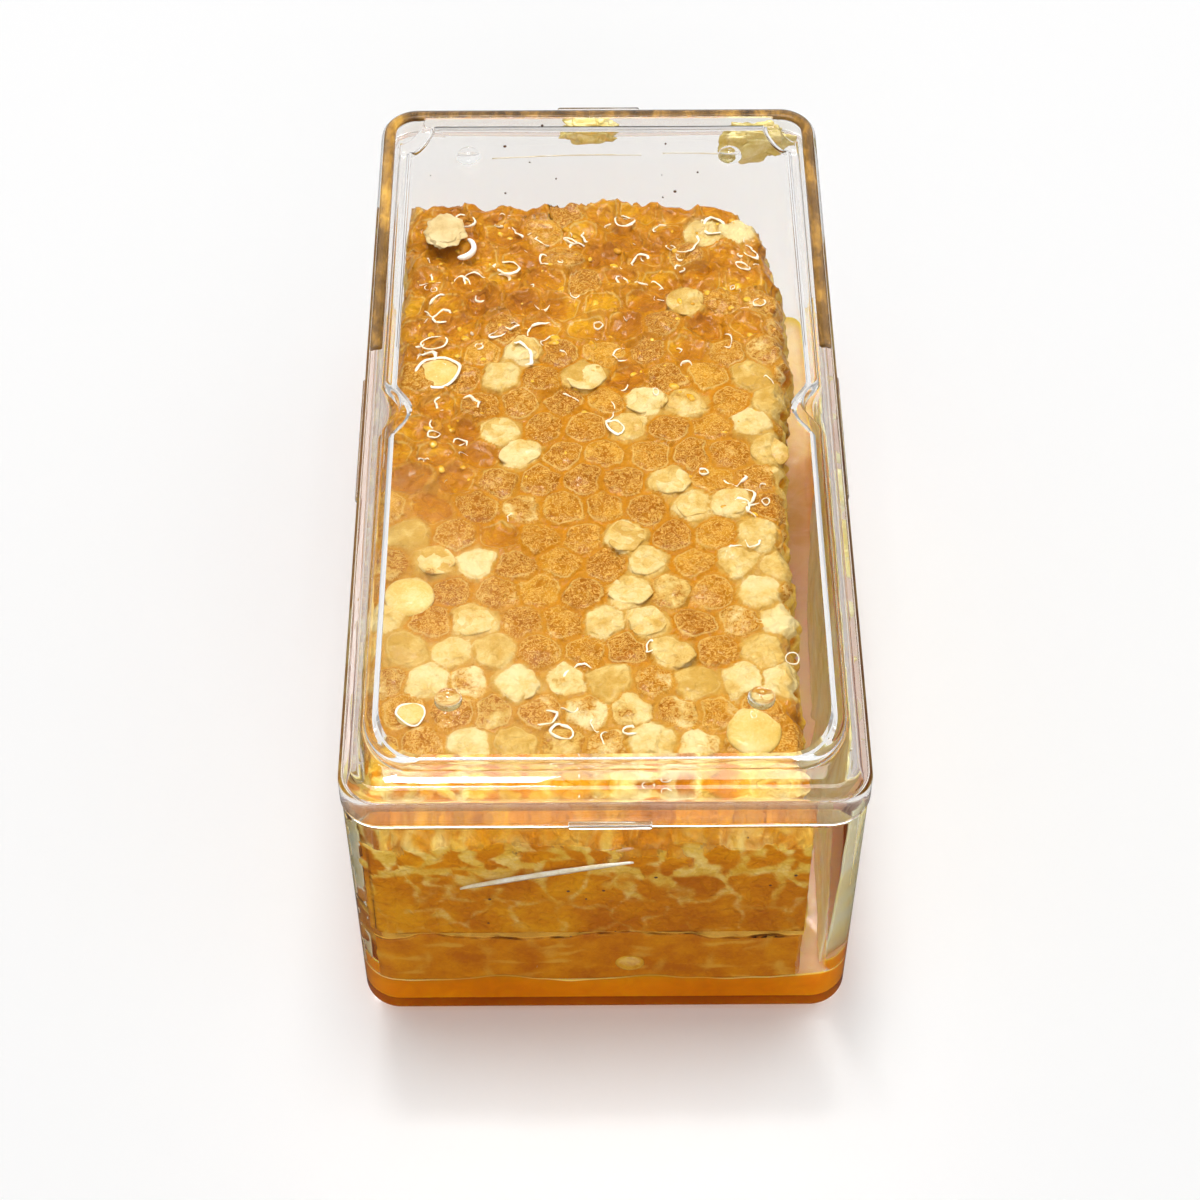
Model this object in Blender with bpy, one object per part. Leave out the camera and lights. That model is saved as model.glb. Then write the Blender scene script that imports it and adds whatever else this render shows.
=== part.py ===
"""A piece of cut honeycomb in its clear lidded box, standing in the honey that has run out of it.

Frame: metres, +Z up, +Y towards the back of the box, origin at the middle of its underside.
The driving dimensions below are in millimetres.
"""

import math
import random

import bmesh
import bpy

MM = 0.001

# Box: the lid is the widest piece, and the tray's wall is flush with its skirt.
BOX_WIDTH = 60.0
BOX_LENGTH = 119.0
CORNER_RADIUS = 5.0
CORNER_STEPS = 6
FIT_GAP = 0.3

# Tray
TRAY_INSET = 0.2
TRAY_DRAFT = 0.3
WALL = 1.5
FLOOR = 1.3
FOOT_RADIUS = 1.2
INSIDE_FOOT_RADIUS = 1.5
SHOULDER_Z = 39.0
TONGUE_TOP = 42.3
TONGUE_INSET = 1.0

# Lid
SKIRT_WALL = 0.7
SKIRT_TOP = 42.4
RING_TOP = 44.5
RING_ROUNDING = 2.0
PANEL_TOP = 46.0
PANEL_HALF = (26.9, 54.9)
PANEL_CORNER_CUT = (2.8, 5.6)
PANEL_SLOPE = 0.4
LID_WALL = 1.3
NOTCH_DEPTH = 3.0
NOTCH_HALF_LENGTH = 4.8
NOTCH_STEPS = 6
PIP_PLACE = (17.7, 46.6)
PIP_RADIUS = 1.5
PIP_HEIGHT = 0.5

# Lips for opening the box
LIP_THICKNESS = 1.0
SIDE_LIP_HALF_LENGTH = 10.5
SIDE_LIP_MIDDLE = 2.0
SIDE_LIP_PROUD = 0.8
END_LIP_HALF_WIDTH = 5.7
BACK_LIP_PROUD = 1.9
FRONT_LIP_PROUD = 0.5
BACK_LIP_Z = 42.4
LOW_LIP_Z = 40.0

# Comb: six-sided cells in rows across the box, points towards the front and back
CELL_PITCH = 5.24
ROW_PITCH = CELL_PITCH * math.sqrt(3) / 2
CELL_RADIUS = CELL_PITCH / math.sqrt(3)
COMB_LEFT = -27.2
COMB_FRONT = -57.2
COMB_CORNER = 3.6
COMB_BACK = 44.6
COMB_TOP = 38.9
CAP_RISE = 0.75
CAP_SET_BACK = 0.6
SUNK_CELL = 1.1
OPEN_SHARE = 0.12
FRONT_ROLL_START = -51.0
FRONT_ROLL_DROP = 4.0
MIDRIB_TOP = 16.1
MIDRIB_THICKNESS = 0.8
LOWER_BOTTOM = 6.7
LAYER_STEPS = 14
LAYER_INSET = 0.8

# Honey that has run out and covers the floor
HONEY_LEVEL = 6.0
MENISCUS_RISE = 0.4
MENISCUS_WIDTH = 1.2

CLEAR = ((0.93, 0.93, 0.92, 1.0), 0.05)
WAX = ((0.78, 0.52, 0.16, 1.0), 0.40)
WAX_SHEET = ((0.86, 0.62, 0.22, 1.0), 0.35)
HONEY = ((0.62, 0.22, 0.01, 1.0), 0.08)
PALE_WAX = ((0.85, 0.70, 0.35, 1.0), 0.45)


def clear_scene():
    for obj in list(bpy.data.objects):
        bpy.data.objects.remove(obj, do_unlink=True)


def new_collection(name):
    collection = bpy.data.collections.new(name)
    bpy.context.scene.collection.children.link(collection)
    return collection


def new_material(name, look):
    color, roughness = look
    material = bpy.data.materials.new(name)
    material.use_nodes = True
    shader = material.node_tree.nodes["Principled BSDF"]
    shader.inputs["Base Color"].default_value = color
    shader.inputs["Roughness"].default_value = roughness
    shader.inputs["Metallic"].default_value = 0.0
    return material


def object_from(name, bm, collection, look):
    """Closes a bmesh into a named object, with its faces pointing outwards."""
    bmesh.ops.recalc_face_normals(bm, faces=bm.faces)
    mesh = bpy.data.meshes.new(name)
    bm.to_mesh(mesh)
    bm.free()
    mesh.materials.append(new_material(name, look))
    mesh.shade_smooth()
    mesh.set_sharp_from_angle(angle=math.radians(35))
    obj = bpy.data.objects.new(name, mesh)
    collection.objects.link(obj)
    return obj


def outline(half_x, half_y, corner, notch=0.0):
    """One ring of the box, anticlockwise from the middle of the right side.

    corner is a radius, or a pair (cut along x, cut along y) for a corner that is cut off straight.
    notch is how far a rounded notch bulges inwards at the middle of each long side.
    """
    quarter = []
    for step in range(NOTCH_STEPS + 1):
        along = step / NOTCH_STEPS
        inward = notch * (0.5 + 0.5 * math.cos(math.pi * along))
        quarter.append((half_x - inward, NOTCH_HALF_LENGTH * along))
    for step in range(CORNER_STEPS + 1):
        along = step / CORNER_STEPS
        if isinstance(corner, tuple):
            point = (half_x - corner[0] * along, half_y - corner[1] * (1 - along))
        else:
            turn = along * math.pi / 2
            point = (
                half_x - corner + corner * math.cos(turn),
                half_y - corner + corner * math.sin(turn),
            )
        quarter.append(point)
    upper_left = [(-x, y) for x, y in reversed(quarter)]
    lower_left = [(-x, -y) for x, y in quarter[1:]]
    lower_right = [(x, -y) for x, y in reversed(quarter[1:])]
    return quarter + upper_left + lower_left + lower_right


def rect_ring(inset, z):
    """A ring that runs a given inset inside the box's outer outline."""
    radius = max(CORNER_RADIUS - inset, 0.8)
    return outline(BOX_WIDTH / 2 - inset, BOX_LENGTH / 2 - inset, radius), z


def panel_ring(grow, z):
    """A ring round the lid's raised panel, grown outwards by the given amount."""
    half_x, half_y = PANEL_HALF
    return outline(half_x + grow, half_y + grow, PANEL_CORNER_CUT, NOTCH_DEPTH), z


def loft(rings):
    """A closed solid through rings of equal count, capped over its first and last ring."""
    bm = bmesh.new()
    loops = []
    for points, z in rings:
        loops.append([bm.verts.new((x * MM, y * MM, z * MM)) for x, y in points])
    for lower, upper in zip(loops, loops[1:]):
        for index, vert in enumerate(lower):
            after = (index + 1) % len(lower)
            bm.faces.new((vert, lower[after], upper[after], upper[index]))
    bm.faces.new(loops[0])
    bm.faces.new(loops[-1])
    return bm


def tray_outer_inset(z):
    """The tray leans inwards towards its foot by the mould's draft."""
    return TRAY_INSET + TRAY_DRAFT * (1 - z / SHOULDER_Z)


def foot_rings(inset_at, radius, bottom, steps=4):
    """Rings round a rounded lower edge, from the flat bottom up to the wall."""
    rings = []
    for step in range(steps + 1):
        turn = math.pi / 2 * step / steps
        z = bottom + radius * (1 - math.cos(turn))
        rings.append(rect_ring(inset_at(z) + radius * (1 - math.sin(turn)), z))
    return rings


def tray_inner_inset(z):
    return tray_outer_inset(z) + WALL


def make_tray(collection):
    outside = foot_rings(tray_outer_inset, FOOT_RADIUS, 0.0)
    inside = foot_rings(tray_inner_inset, INSIDE_FOOT_RADIUS, FLOOR, steps=3)
    rim = [
        rect_ring(TRAY_INSET, SHOULDER_Z),
        rect_ring(TONGUE_INSET, SHOULDER_Z),
        rect_ring(TONGUE_INSET, TONGUE_TOP),
        rect_ring(tray_inner_inset(SHOULDER_Z), TONGUE_TOP),
    ]
    tray = object_from("tray", loft(outside + rim + inside[::-1]), collection, CLEAR)
    for side in (-1, 1):
        add_to(tray, side_lip(side))


def side_lip(side):
    """A thin lip under the lid's skirt at the middle of a long side."""
    wall = BOX_WIDTH / 2 - TRAY_INSET - 0.5
    proud = BOX_WIDTH / 2 + SIDE_LIP_PROUD
    middle = (side * (wall + proud) / 2, SIDE_LIP_MIDDLE, SHOULDER_Z - 1.5)
    size = (proud - wall, 2 * SIDE_LIP_HALF_LENGTH, LIP_THICKNESS)
    return block("side_lip", middle, size, 0.35)


def block(name, middle, size, rounding):
    """A box with rounded upright edges, made as a helper for a Boolean."""
    bm = bmesh.new()
    bmesh.ops.create_cube(bm, size=1.0)
    bmesh.ops.scale(bm, vec=[length * MM for length in size], verts=bm.verts)
    upright = [
        edge
        for edge in bm.edges
        if abs(edge.verts[0].co.z - edge.verts[1].co.z) > 0.5 * size[2] * MM
    ]
    bmesh.ops.bevel(bm, geom=upright, offset=rounding * MM, segments=3, affect="EDGES")
    bmesh.ops.translate(bm, vec=[place * MM for place in middle], verts=bm.verts)
    mesh = bpy.data.meshes.new(name)
    bm.to_mesh(mesh)
    bm.free()
    return bpy.data.objects.new(name, mesh)


def add_to(target, helper):
    """Joins a helper shape to a piece with a union."""
    helper.hide_render = True
    helper.display_type = "WIRE"
    HELPERS.objects.link(helper)
    union = target.modifiers.new(helper.name, "BOOLEAN")
    union.operation = "UNION"
    union.solver = "EXACT"
    union.object = helper


def make_lid(collection):
    skirt_bottom = SHOULDER_Z + FIT_GAP
    skirt_inside = [
        rect_ring(SKIRT_WALL, skirt_bottom),
        rect_ring(SKIRT_WALL, RING_TOP - LID_WALL),
    ]
    skirt_outside = [rect_ring(0.0, skirt_bottom), rect_ring(0.0, SKIRT_TOP)]
    shoulder = []
    for step in (1, 2, 3):
        turn = math.pi / 2 * step / 3
        inset = RING_ROUNDING * (1 - math.cos(turn))
        z = SKIRT_TOP + (RING_TOP - SKIRT_TOP) * math.sin(turn)
        shoulder.append(rect_ring(inset, z))
    panel = [panel_ring(PANEL_SLOPE, RING_TOP), panel_ring(0.0, PANEL_TOP)]
    under_panel = [
        panel_ring(-LID_WALL, PANEL_TOP - LID_WALL),
        panel_ring(PANEL_SLOPE - LID_WALL, RING_TOP - LID_WALL),
    ]
    rings = under_panel + skirt_inside[::-1] + skirt_outside + shoulder + panel
    lid = object_from("lid", loft(rings), collection, CLEAR)
    for side_x in (-1, 1):
        for side_y in (-1, 1):
            add_to(lid, pip(side_x * PIP_PLACE[0], side_y * PIP_PLACE[1]))
    back = (0.0, BOX_LENGTH / 2 + BACK_LIP_PROUD / 2 - 0.2, BACK_LIP_Z - LIP_THICKNESS / 2)
    back_size = (2 * END_LIP_HALF_WIDTH, BACK_LIP_PROUD + 0.4, LIP_THICKNESS)
    add_to(lid, block("back_lip", back, back_size, 0.9))
    front = (0.0, -BOX_LENGTH / 2 - FRONT_LIP_PROUD / 2 + 0.1, LOW_LIP_Z)
    front_size = (2 * END_LIP_HALF_WIDTH - 2.0, FRONT_LIP_PROUD + 0.2, LIP_THICKNESS - 0.2)
    add_to(lid, block("front_lip", front, front_size, 0.2))


def pip(x, y):
    """A low round pip that keeps a stacked box from sliding."""
    bm = bmesh.new()
    bmesh.ops.create_cone(
        bm,
        cap_ends=True,
        segments=16,
        radius1=PIP_RADIUS * MM,
        radius2=0.6 * PIP_RADIUS * MM,
        depth=2 * PIP_HEIGHT * MM,
    )
    bmesh.ops.translate(bm, vec=(x * MM, y * MM, PANEL_TOP * MM), verts=bm.verts)
    mesh = bpy.data.meshes.new("pip")
    bm.to_mesh(mesh)
    bm.free()
    return bpy.data.objects.new("pip", mesh)


def right_edge(y):
    """The torn right side of the comb, which wanders a little along its length."""
    return 22.7 + 0.7 * math.sin(y / 11.0) - 0.5 * math.cos(y / 6.5)


def comb_cells():
    """(x, y) of the middle of every cell in the piece."""
    cells = []
    rows = int((COMB_BACK - COMB_FRONT) / ROW_PITCH) + 1
    for row in range(rows + 1):
        y = COMB_FRONT + ROW_PITCH * row
        start = COMB_LEFT + CELL_PITCH * (0.5 + 0.5 * (row % 2))
        column = 0
        while start + CELL_PITCH * (column + 0.35) < right_edge(y):
            x = start + CELL_PITCH * column
            column += 1
            torn_corner = y > COMB_BACK - ROW_PITCH and x > 15.0
            if y < COMB_BACK and not torn_corner:
                cells.append((x, y))
    return cells


def comb_surface(y):
    """Height of the comb's upper side, which rolls down where the cut pressed its front edge."""
    past = max(0.0, FRONT_ROLL_START - y) / (FRONT_ROLL_START - COMB_FRONT)
    return COMB_TOP - FRONT_ROLL_DROP * past * past


def inside_tray(x, y):
    """Holds a point of the comb back from the tray's walls and its rounded front left corner."""
    x = max(x, COMB_LEFT)
    y = max(y, COMB_FRONT)
    past_x = COMB_LEFT + COMB_CORNER - x
    past_y = COMB_FRONT + COMB_CORNER - y
    reach = math.hypot(past_x, past_y)
    if past_x > 0 and past_y > 0 and reach > COMB_CORNER:
        x += past_x * (1 - COMB_CORNER / reach)
        y += past_y * (1 - COMB_CORNER / reach)
    return x, y


def cell_corners(x, y):
    for side in range(6):
        turn = math.pi / 6 + math.pi / 3 * side
        yield x + CELL_RADIUS * math.cos(turn), y + CELL_RADIUS * math.sin(turn)


def cell_rise(chance):
    """How far a cell's lid stands above its walls; an open cell is sunk instead."""
    if chance.random() < OPEN_SHARE:
        return -SUNK_CELL
    return CAP_RISE * chance.uniform(0.4, 1.0)


def make_comb_upper(collection):
    """The upper cells: each is a low cap, and the slab's torn sides follow the cells' own walls."""
    chance = random.Random(11)
    bottom = MIDRIB_TOP + FIT_GAP
    bm = bmesh.new()
    shared = {}

    def corner(x, y):
        key = (round(x, 1), round(y, 1))
        if key not in shared:
            x, y = inside_tray(x, y)
            shared[key] = bm.verts.new((x * MM, y * MM, comb_surface(y) * MM))
        return shared[key]

    for x, y in comb_cells():
        ring = [corner(*point) for point in cell_corners(x, y)]
        x, y = inside_tray(x, y + CAP_SET_BACK)
        middle = bm.verts.new((x * MM, y * MM, (comb_surface(y) + cell_rise(chance)) * MM))
        for first, second in zip(ring, ring[1:] + ring[:1]):
            bm.faces.new((first, second, middle))
    rim = [edge for edge in bm.edges if edge.is_boundary]
    walls = bmesh.ops.extrude_edge_only(bm, edges=rim)["geom"]
    low = [item for item in walls if isinstance(item, bmesh.types.BMVert)]
    for vert in low:
        vert.co.z = bottom * MM
    low_edges = [item for item in walls if isinstance(item, bmesh.types.BMEdge)]
    bmesh.ops.contextual_create(bm, geom=low_edges)
    bmesh.ops.dissolve_degenerate(bm, dist=0.02 * MM, edges=bm.edges)
    object_from("comb_upper", bm, collection, WAX)


def make_flat_layer(name, bottom, top, look, collection):
    """A layer of the comb under the upper cells: its outline is the comb's own, without the cells."""
    bm = bmesh.new()
    points = []
    for step in range(LAYER_STEPS + 1):
        y = COMB_FRONT + (COMB_BACK - COMB_FRONT) * step / LAYER_STEPS
        points.append((right_edge(y) - LAYER_INSET, y))
    points.append((COMB_LEFT, COMB_BACK))
    points.append(inside_tray(COMB_LEFT, COMB_FRONT + COMB_CORNER))
    points.append(inside_tray(COMB_LEFT + 0.3 * COMB_CORNER, COMB_FRONT + 0.3 * COMB_CORNER))
    points.append(inside_tray(COMB_LEFT + COMB_CORNER, COMB_FRONT))
    low = [bm.verts.new((x * MM, y * MM, bottom * MM)) for x, y in points]
    face = bm.faces.new(low)
    lifted = bmesh.ops.extrude_face_region(bm, geom=[face])
    verts = [item for item in lifted["geom"] if isinstance(item, bmesh.types.BMVert)]
    bmesh.ops.translate(bm, vec=(0, 0, (top - bottom) * MM), verts=verts)
    object_from(name, bm, collection, look)


def make_honey(collection):
    """Honey over the whole floor, drawn up a little where it meets the walls."""

    def inset_at(z):
        return tray_inner_inset(z) + FIT_GAP

    foot = foot_rings(inset_at, INSIDE_FOOT_RADIUS, FLOOR + FIT_GAP, steps=3)
    edge = inset_at(HONEY_LEVEL)
    top = [
        rect_ring(edge, HONEY_LEVEL + MENISCUS_RISE),
        rect_ring(edge + 0.4 * MENISCUS_WIDTH, HONEY_LEVEL + 0.3 * MENISCUS_RISE),
        rect_ring(edge + MENISCUS_WIDTH, HONEY_LEVEL),
    ]
    object_from("honey_pool", loft(foot + top), collection, HONEY)


def make_scrap(name, middle, size, seed, collection, look=PALE_WAX):
    """A torn lump of wax: a squashed ball with an uneven outline."""
    chance = random.Random(seed)
    bm = bmesh.new()
    bmesh.ops.create_icosphere(bm, subdivisions=2, radius=0.5)
    for vert in bm.verts:
        vert.co *= chance.uniform(0.86, 1.0)
    bmesh.ops.scale(bm, vec=[length * MM for length in size], verts=bm.verts)
    bmesh.ops.translate(bm, vec=[place * MM for place in middle], verts=bm.verts)
    object_from(name, bm, collection, look)


clear_scene()
PARTS = new_collection("honeycomb_piece")
HELPERS = new_collection("helpers")
HELPERS.hide_render = True
make_tray(PARTS)
make_lid(PARTS)
make_comb_upper(PARTS)
make_flat_layer("comb_midrib", MIDRIB_TOP - MIDRIB_THICKNESS, MIDRIB_TOP, WAX_SHEET, PARTS)
make_flat_layer("comb_lower", LOWER_BOTTOM, MIDRIB_TOP - MIDRIB_THICKNESS - FIT_GAP, WAX, PARTS)
make_honey(PARTS)
make_scrap("wax_scrap_centre", (-1.5, 56.4, 41.2), (8.4, 2.6, 3.4), 3, PARTS)
make_scrap("wax_scrap_corner", (22.0, 56.2, 39.4), (11.0, 2.8, 6.6), 5, PARTS)
make_scrap("wax_flake", (-20.7, 36.7, 40.4), (6.4, 7.6, 1.0), 8, PARTS)
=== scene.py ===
# %% [markdown]
# # Cut honeycomb in a clear box
#
# A piece of comb was cut from its frame and shut in a clear box with a lid. Honey has run out of the
# cut cells and covers the floor of the box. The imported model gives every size; the cells below give
# the looks: clear plastic, wet wax and honey.

# %% The frame comes first
import math
import random

import bmesh
import bpy
import numpy as np
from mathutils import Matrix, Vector, noise


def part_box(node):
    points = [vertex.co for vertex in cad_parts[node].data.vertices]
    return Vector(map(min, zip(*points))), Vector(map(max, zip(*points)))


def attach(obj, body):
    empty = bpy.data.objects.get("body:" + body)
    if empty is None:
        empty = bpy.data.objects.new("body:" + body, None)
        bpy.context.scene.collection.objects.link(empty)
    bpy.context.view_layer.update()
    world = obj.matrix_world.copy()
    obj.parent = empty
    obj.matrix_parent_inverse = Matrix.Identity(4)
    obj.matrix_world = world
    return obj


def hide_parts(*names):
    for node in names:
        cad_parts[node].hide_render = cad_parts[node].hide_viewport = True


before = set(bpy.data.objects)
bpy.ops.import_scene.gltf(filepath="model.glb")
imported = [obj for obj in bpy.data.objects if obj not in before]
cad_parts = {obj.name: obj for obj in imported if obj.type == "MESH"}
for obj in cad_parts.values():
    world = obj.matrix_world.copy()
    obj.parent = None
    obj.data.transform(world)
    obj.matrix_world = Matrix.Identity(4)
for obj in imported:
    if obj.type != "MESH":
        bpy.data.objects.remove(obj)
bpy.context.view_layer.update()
MM = 0.001
print("nodes:", ", ".join(sorted(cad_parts)))

# %% [markdown]
# ## Driving sizes
#
# All sizes below are in millimetres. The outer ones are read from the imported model, so that a change
# there moves everything here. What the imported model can't show, such as the thickness of a wall, is
# named once.

# %% Sizes of the box
tray_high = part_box("tray")[1] / MM
lid_low, lid_high = (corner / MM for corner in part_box("lid"))
pool_low, pool_high = (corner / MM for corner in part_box("honey_pool"))
comb_low, comb_high = (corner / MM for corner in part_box("comb_upper"))
lower_low, lower_high = (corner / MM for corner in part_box("comb_lower"))
midrib_low, midrib_high = (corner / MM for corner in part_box("comb_midrib"))

TRAY_INSET = 0.2
TRAY_DRAFT = 0.3
HALF_WIDTH = lid_high.x
HALF_LENGTH = tray_high.y + TRAY_INSET
CORNER_RADIUS = 5.0
WALL = 1.5
FLOOR = pool_low.z - 0.3
FOOT_RADIUS = 1.2
INSIDE_FOOT_RADIUS = 1.5
SHOULDER_Z = lid_low.z - 0.3
TONGUE_TOP = tray_high.z
TONGUE_INSET = 1.0
PIP_HEIGHT = 0.5
PANEL_TOP = lid_high.z - PIP_HEIGHT
RING_TOP = PANEL_TOP - 1.5
SKIRT_TOP = RING_TOP - 2.1
LID_WALL = 1.3
SKIRT_WALL = 0.7
print(f"box {2 * HALF_WIDTH:.1f} x {2 * HALF_LENGTH:.1f} x {PANEL_TOP:.1f} mm")

# %% [markdown]
# ## Small helpers
#
# A mesh is made from plain lists of points and faces, and a finished piece gets its place in the
# imported model in one call. Node trees are built by a helper that sets a node's options and its
# inputs in one line.


# %% Helpers for meshes
def to_object(name, mesh, material):
    obj = bpy.data.objects.new(name, mesh)
    bpy.context.scene.collection.objects.link(obj)
    if material:
        mesh.materials.clear()
        mesh.materials.append(material)
    return obj


def mesh_from(name, points, faces):
    """A mesh from points in millimetres."""
    mesh = bpy.data.meshes.new(name)
    mesh.from_pydata((np.asarray(points, float) * MM).tolist(), [], faces)
    mesh.update()
    return mesh


def edited(mesh, change):
    """Runs change(bm) on a mesh, in its editing form."""
    bm = bmesh.new()
    bm.from_mesh(mesh)
    change(bm)
    bm.to_mesh(mesh)
    bm.free()
    return mesh


def turn_outwards(mesh):
    return edited(mesh, lambda bm: bmesh.ops.recalc_face_normals(bm, faces=bm.faces))


def smoothed(mesh, sharp_angle):
    """Shades a mesh smooth, but for edges sharper than an angle in degrees."""
    mesh.shade_smooth()
    mesh.set_sharp_from_angle(angle=math.radians(sharp_angle))
    return mesh


def band_faces(base, count):
    """Faces between one ring of count points, the first of them numbered base, and the next ring."""
    ring = range(count)
    after = [(index + 1) % count for index in ring]
    return [(base + i, base + j, base + count + j, base + count + i) for i, j in zip(ring, after)]


def capped_faces(levels, count):
    """Faces through rings of equal count, and a cap over the first and the last."""
    faces = [face for level in range(levels - 1) for face in band_faces(level * count, count)]
    faces.append(tuple(reversed(range(count))))
    faces.append(tuple(range((levels - 1) * count, levels * count)))
    return faces


def finish_piece(obj, slot, *nodes):
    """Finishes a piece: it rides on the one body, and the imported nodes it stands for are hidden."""
    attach(obj, "root")
    if nodes:
        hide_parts(*nodes)
    triangles = sum(len(face.vertices) - 2 for face in obj.data.polygons)
    print(f"{obj.name}: {triangles} triangles")
    return obj


def baked(obj, name):
    """The evaluated mesh of obj, with its modifiers in it, as a plain mesh; obj is removed."""
    graph = bpy.context.evaluated_depsgraph_get()
    graph.update()
    mesh = bpy.data.meshes.new_from_object(obj.evaluated_get(graph))
    mesh.name = name
    bpy.data.objects.remove(obj, do_unlink=True)
    return mesh


def store(mesh, name, values):
    """Puts one number at each point of a mesh, for a material to read."""
    attribute = mesh.attributes.new(name, "FLOAT", "POINT")
    attribute.data.foreach_set("value", np.asarray(values, np.float32))


def smooth_step(low, high, value):
    t = np.clip((np.asarray(value, float) - low) / (high - low), 0.0, 1.0)
    return t * t * (3 - 2 * t)


def noise_at(points, size, seed=0.0):
    """Smooth noise from -1 to 1 at each (x, y, z); size is that of one blotch."""
    shift = Vector((seed * 17.3, seed * 5.1, seed * 9.7))
    return np.array([noise.noise(Vector(p) / size + shift) for p in points])


# %% Helpers for node trees
def add(tree, kind, values=None, **options):
    """Adds a node, sets its options and the default values of its inputs."""
    node = tree.nodes.new(kind)
    for option, value in options.items():
        setattr(node, option, value)
    for socket, value in (values or {}).items():
        node.inputs[socket].default_value = value
    return node


def feed(tree, value, socket):
    """Gives a socket a value, or links it where the value is itself a socket."""
    if isinstance(value, bpy.types.NodeSocket):
        tree.links.new(value, socket)
    else:
        socket.default_value = value


def add_math(tree, operation, first, second=0.0):
    """A math node; first and second are numbers or sockets."""
    node = add(tree, "ShaderNodeMath", operation=operation)
    feed(tree, first, node.inputs[0])
    feed(tree, second, node.inputs[1])
    return node.outputs[0]


def add_mix(tree, factor, first, second):
    """Mixes two colours; each is a colour or a socket."""
    node = add(tree, "ShaderNodeMix", data_type="RGBA")
    for name, kind, value in (("Factor", "VALUE", factor), ("A", "RGBA", first), ("B", "RGBA", second)):
        feed(tree, value, next(s for s in node.inputs if s.name == name and s.type == kind))
    return next(s for s in node.outputs if s.type == "RGBA")


def add_range(tree, value, low, high, to_low=0.0, to_high=1.0):
    """Maps low..high smoothly to to_low..to_high."""
    node = add(tree, "ShaderNodeMapRange", interpolation_type="SMOOTHSTEP")
    tree.links.new(value, node.inputs["Value"])
    for socket, number in zip(("From Min", "From Max", "To Min", "To Max"), (low, high, to_low, to_high)):
        node.inputs[socket].default_value = number
    return node.outputs["Result"]


def add_ramp(tree, value, stops):
    """A colour ramp; stops are (position, colour)."""
    node = add(tree, "ShaderNodeValToRGB")
    tree.links.new(value, node.inputs["Fac"])
    ramp = node.color_ramp
    while len(ramp.elements) < len(stops):
        ramp.elements.new(0.5)
    for element, (position, color) in zip(ramp.elements, stops):
        element.position = position
        element.color = (*color, 1.0)
    return node.outputs["Color"]


def new_material(name, **settings):
    """A material, its tree and its shader. A setting such as Coat_Weight is a socket of the shader."""
    material = bpy.data.materials.new(name)
    material.use_nodes = True
    tree = material.node_tree
    shader = tree.nodes["Principled BSDF"]
    set_up(shader, **settings)
    return material, tree, shader


def set_up(shader, **settings):
    for socket, value in settings.items():
        shader.inputs[socket.replace("_", " ")].default_value = value


# %% [markdown]
# ## Camera, light and floor
#
# The box is seen from the front and well above, through a long lens. Its own plastic shows only what
# it mirrors and bends, so the light matters as much as the material. The room is bright all round,
# so that the edges shine, with one quiet patch where the flat lid would mirror it as a haze. A small
# strong light makes the wet honey sparkle. The floor looks dark to mirror rays for the same reason:
# its glare would wash out the front wall. It lies a hair's breadth below the box, as a real table does
# but for a few points, so that the plastic's underside mirrors the honey and not the table.

# %% Camera
AIM = Vector((-0.3, -11.7, 22.0)) * MM
DISTANCE = 343.3 * MM
AZIMUTH = math.radians(0.41)
ELEVATION = math.radians(49.93)
LENS = 80.3

camera_data = bpy.data.cameras.new("camera")
camera_data.lens = LENS
camera_data.sensor_width = 36.0
camera_data.clip_start = 0.01
camera = bpy.data.objects.new("camera", camera_data)
forward = Vector(
    (
        math.sin(AZIMUTH) * math.cos(ELEVATION),
        math.cos(AZIMUTH) * math.cos(ELEVATION),
        -math.sin(ELEVATION),
    )
)
camera.location = AIM - DISTANCE * forward
camera.rotation_euler = forward.to_track_quat("-Z", "Y").to_euler()
bpy.context.scene.collection.objects.link(camera)
bpy.context.scene.camera = camera
bpy.context.scene.view_settings.view_transform = "Standard"
print("camera at", tuple(round(v, 3) for v in camera.location))

# %% Room light, soft lights and floor
QUIET_ELEVATION = math.radians(47)
ROOM_STRENGTH = 0.50
EDGE_STRENGTH = 0.55

world = bpy.data.worlds.new("room")
bpy.context.scene.world = world
world.use_nodes = True
room = world.node_tree
direction = add(room, "ShaderNodeTexCoord").outputs["Generated"]
height = add(room, "ShaderNodeSeparateXYZ")
room.links.new(direction, height.inputs[0])
sky = add_ramp(
    room,
    height.outputs["Z"],
    [(up, (grey, grey, grey)) for up, grey in ((0.0, 0.7), (0.05, 0.4), (0.22, 0.5), (0.34, 0.95))],
)
quiet = add(room, "ShaderNodeVectorMath", operation="DOT_PRODUCT")
room.links.new(direction, quiet.inputs[0])
quiet.inputs[1].default_value = (0.0, math.cos(QUIET_ELEVATION), math.sin(QUIET_ELEVATION))
quiet_here = add_range(room, quiet.outputs["Value"], 0.80, 0.93, 1.0, 0.06)
low_down = add_range(room, height.outputs["Z"], 0.30, 0.15)
in_front = add_range(room, height.outputs["Y"], 0.10, -0.25)
edges = add_math(room, "MAXIMUM", low_down, in_front)
glossy = add(room, "ShaderNodeLightPath").outputs["Is Glossy Ray"]
edges = add_math(room, "MULTIPLY", add_math(room, "MULTIPLY", edges, glossy), EDGE_STRENGTH)
background = room.nodes["Background"]
room.links.new(sky, background.inputs["Color"])
strength = add_math(room, "MULTIPLY", quiet_here, ROOM_STRENGTH)
room.links.new(add_math(room, "ADD", strength, edges), background.inputs["Strength"])


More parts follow.
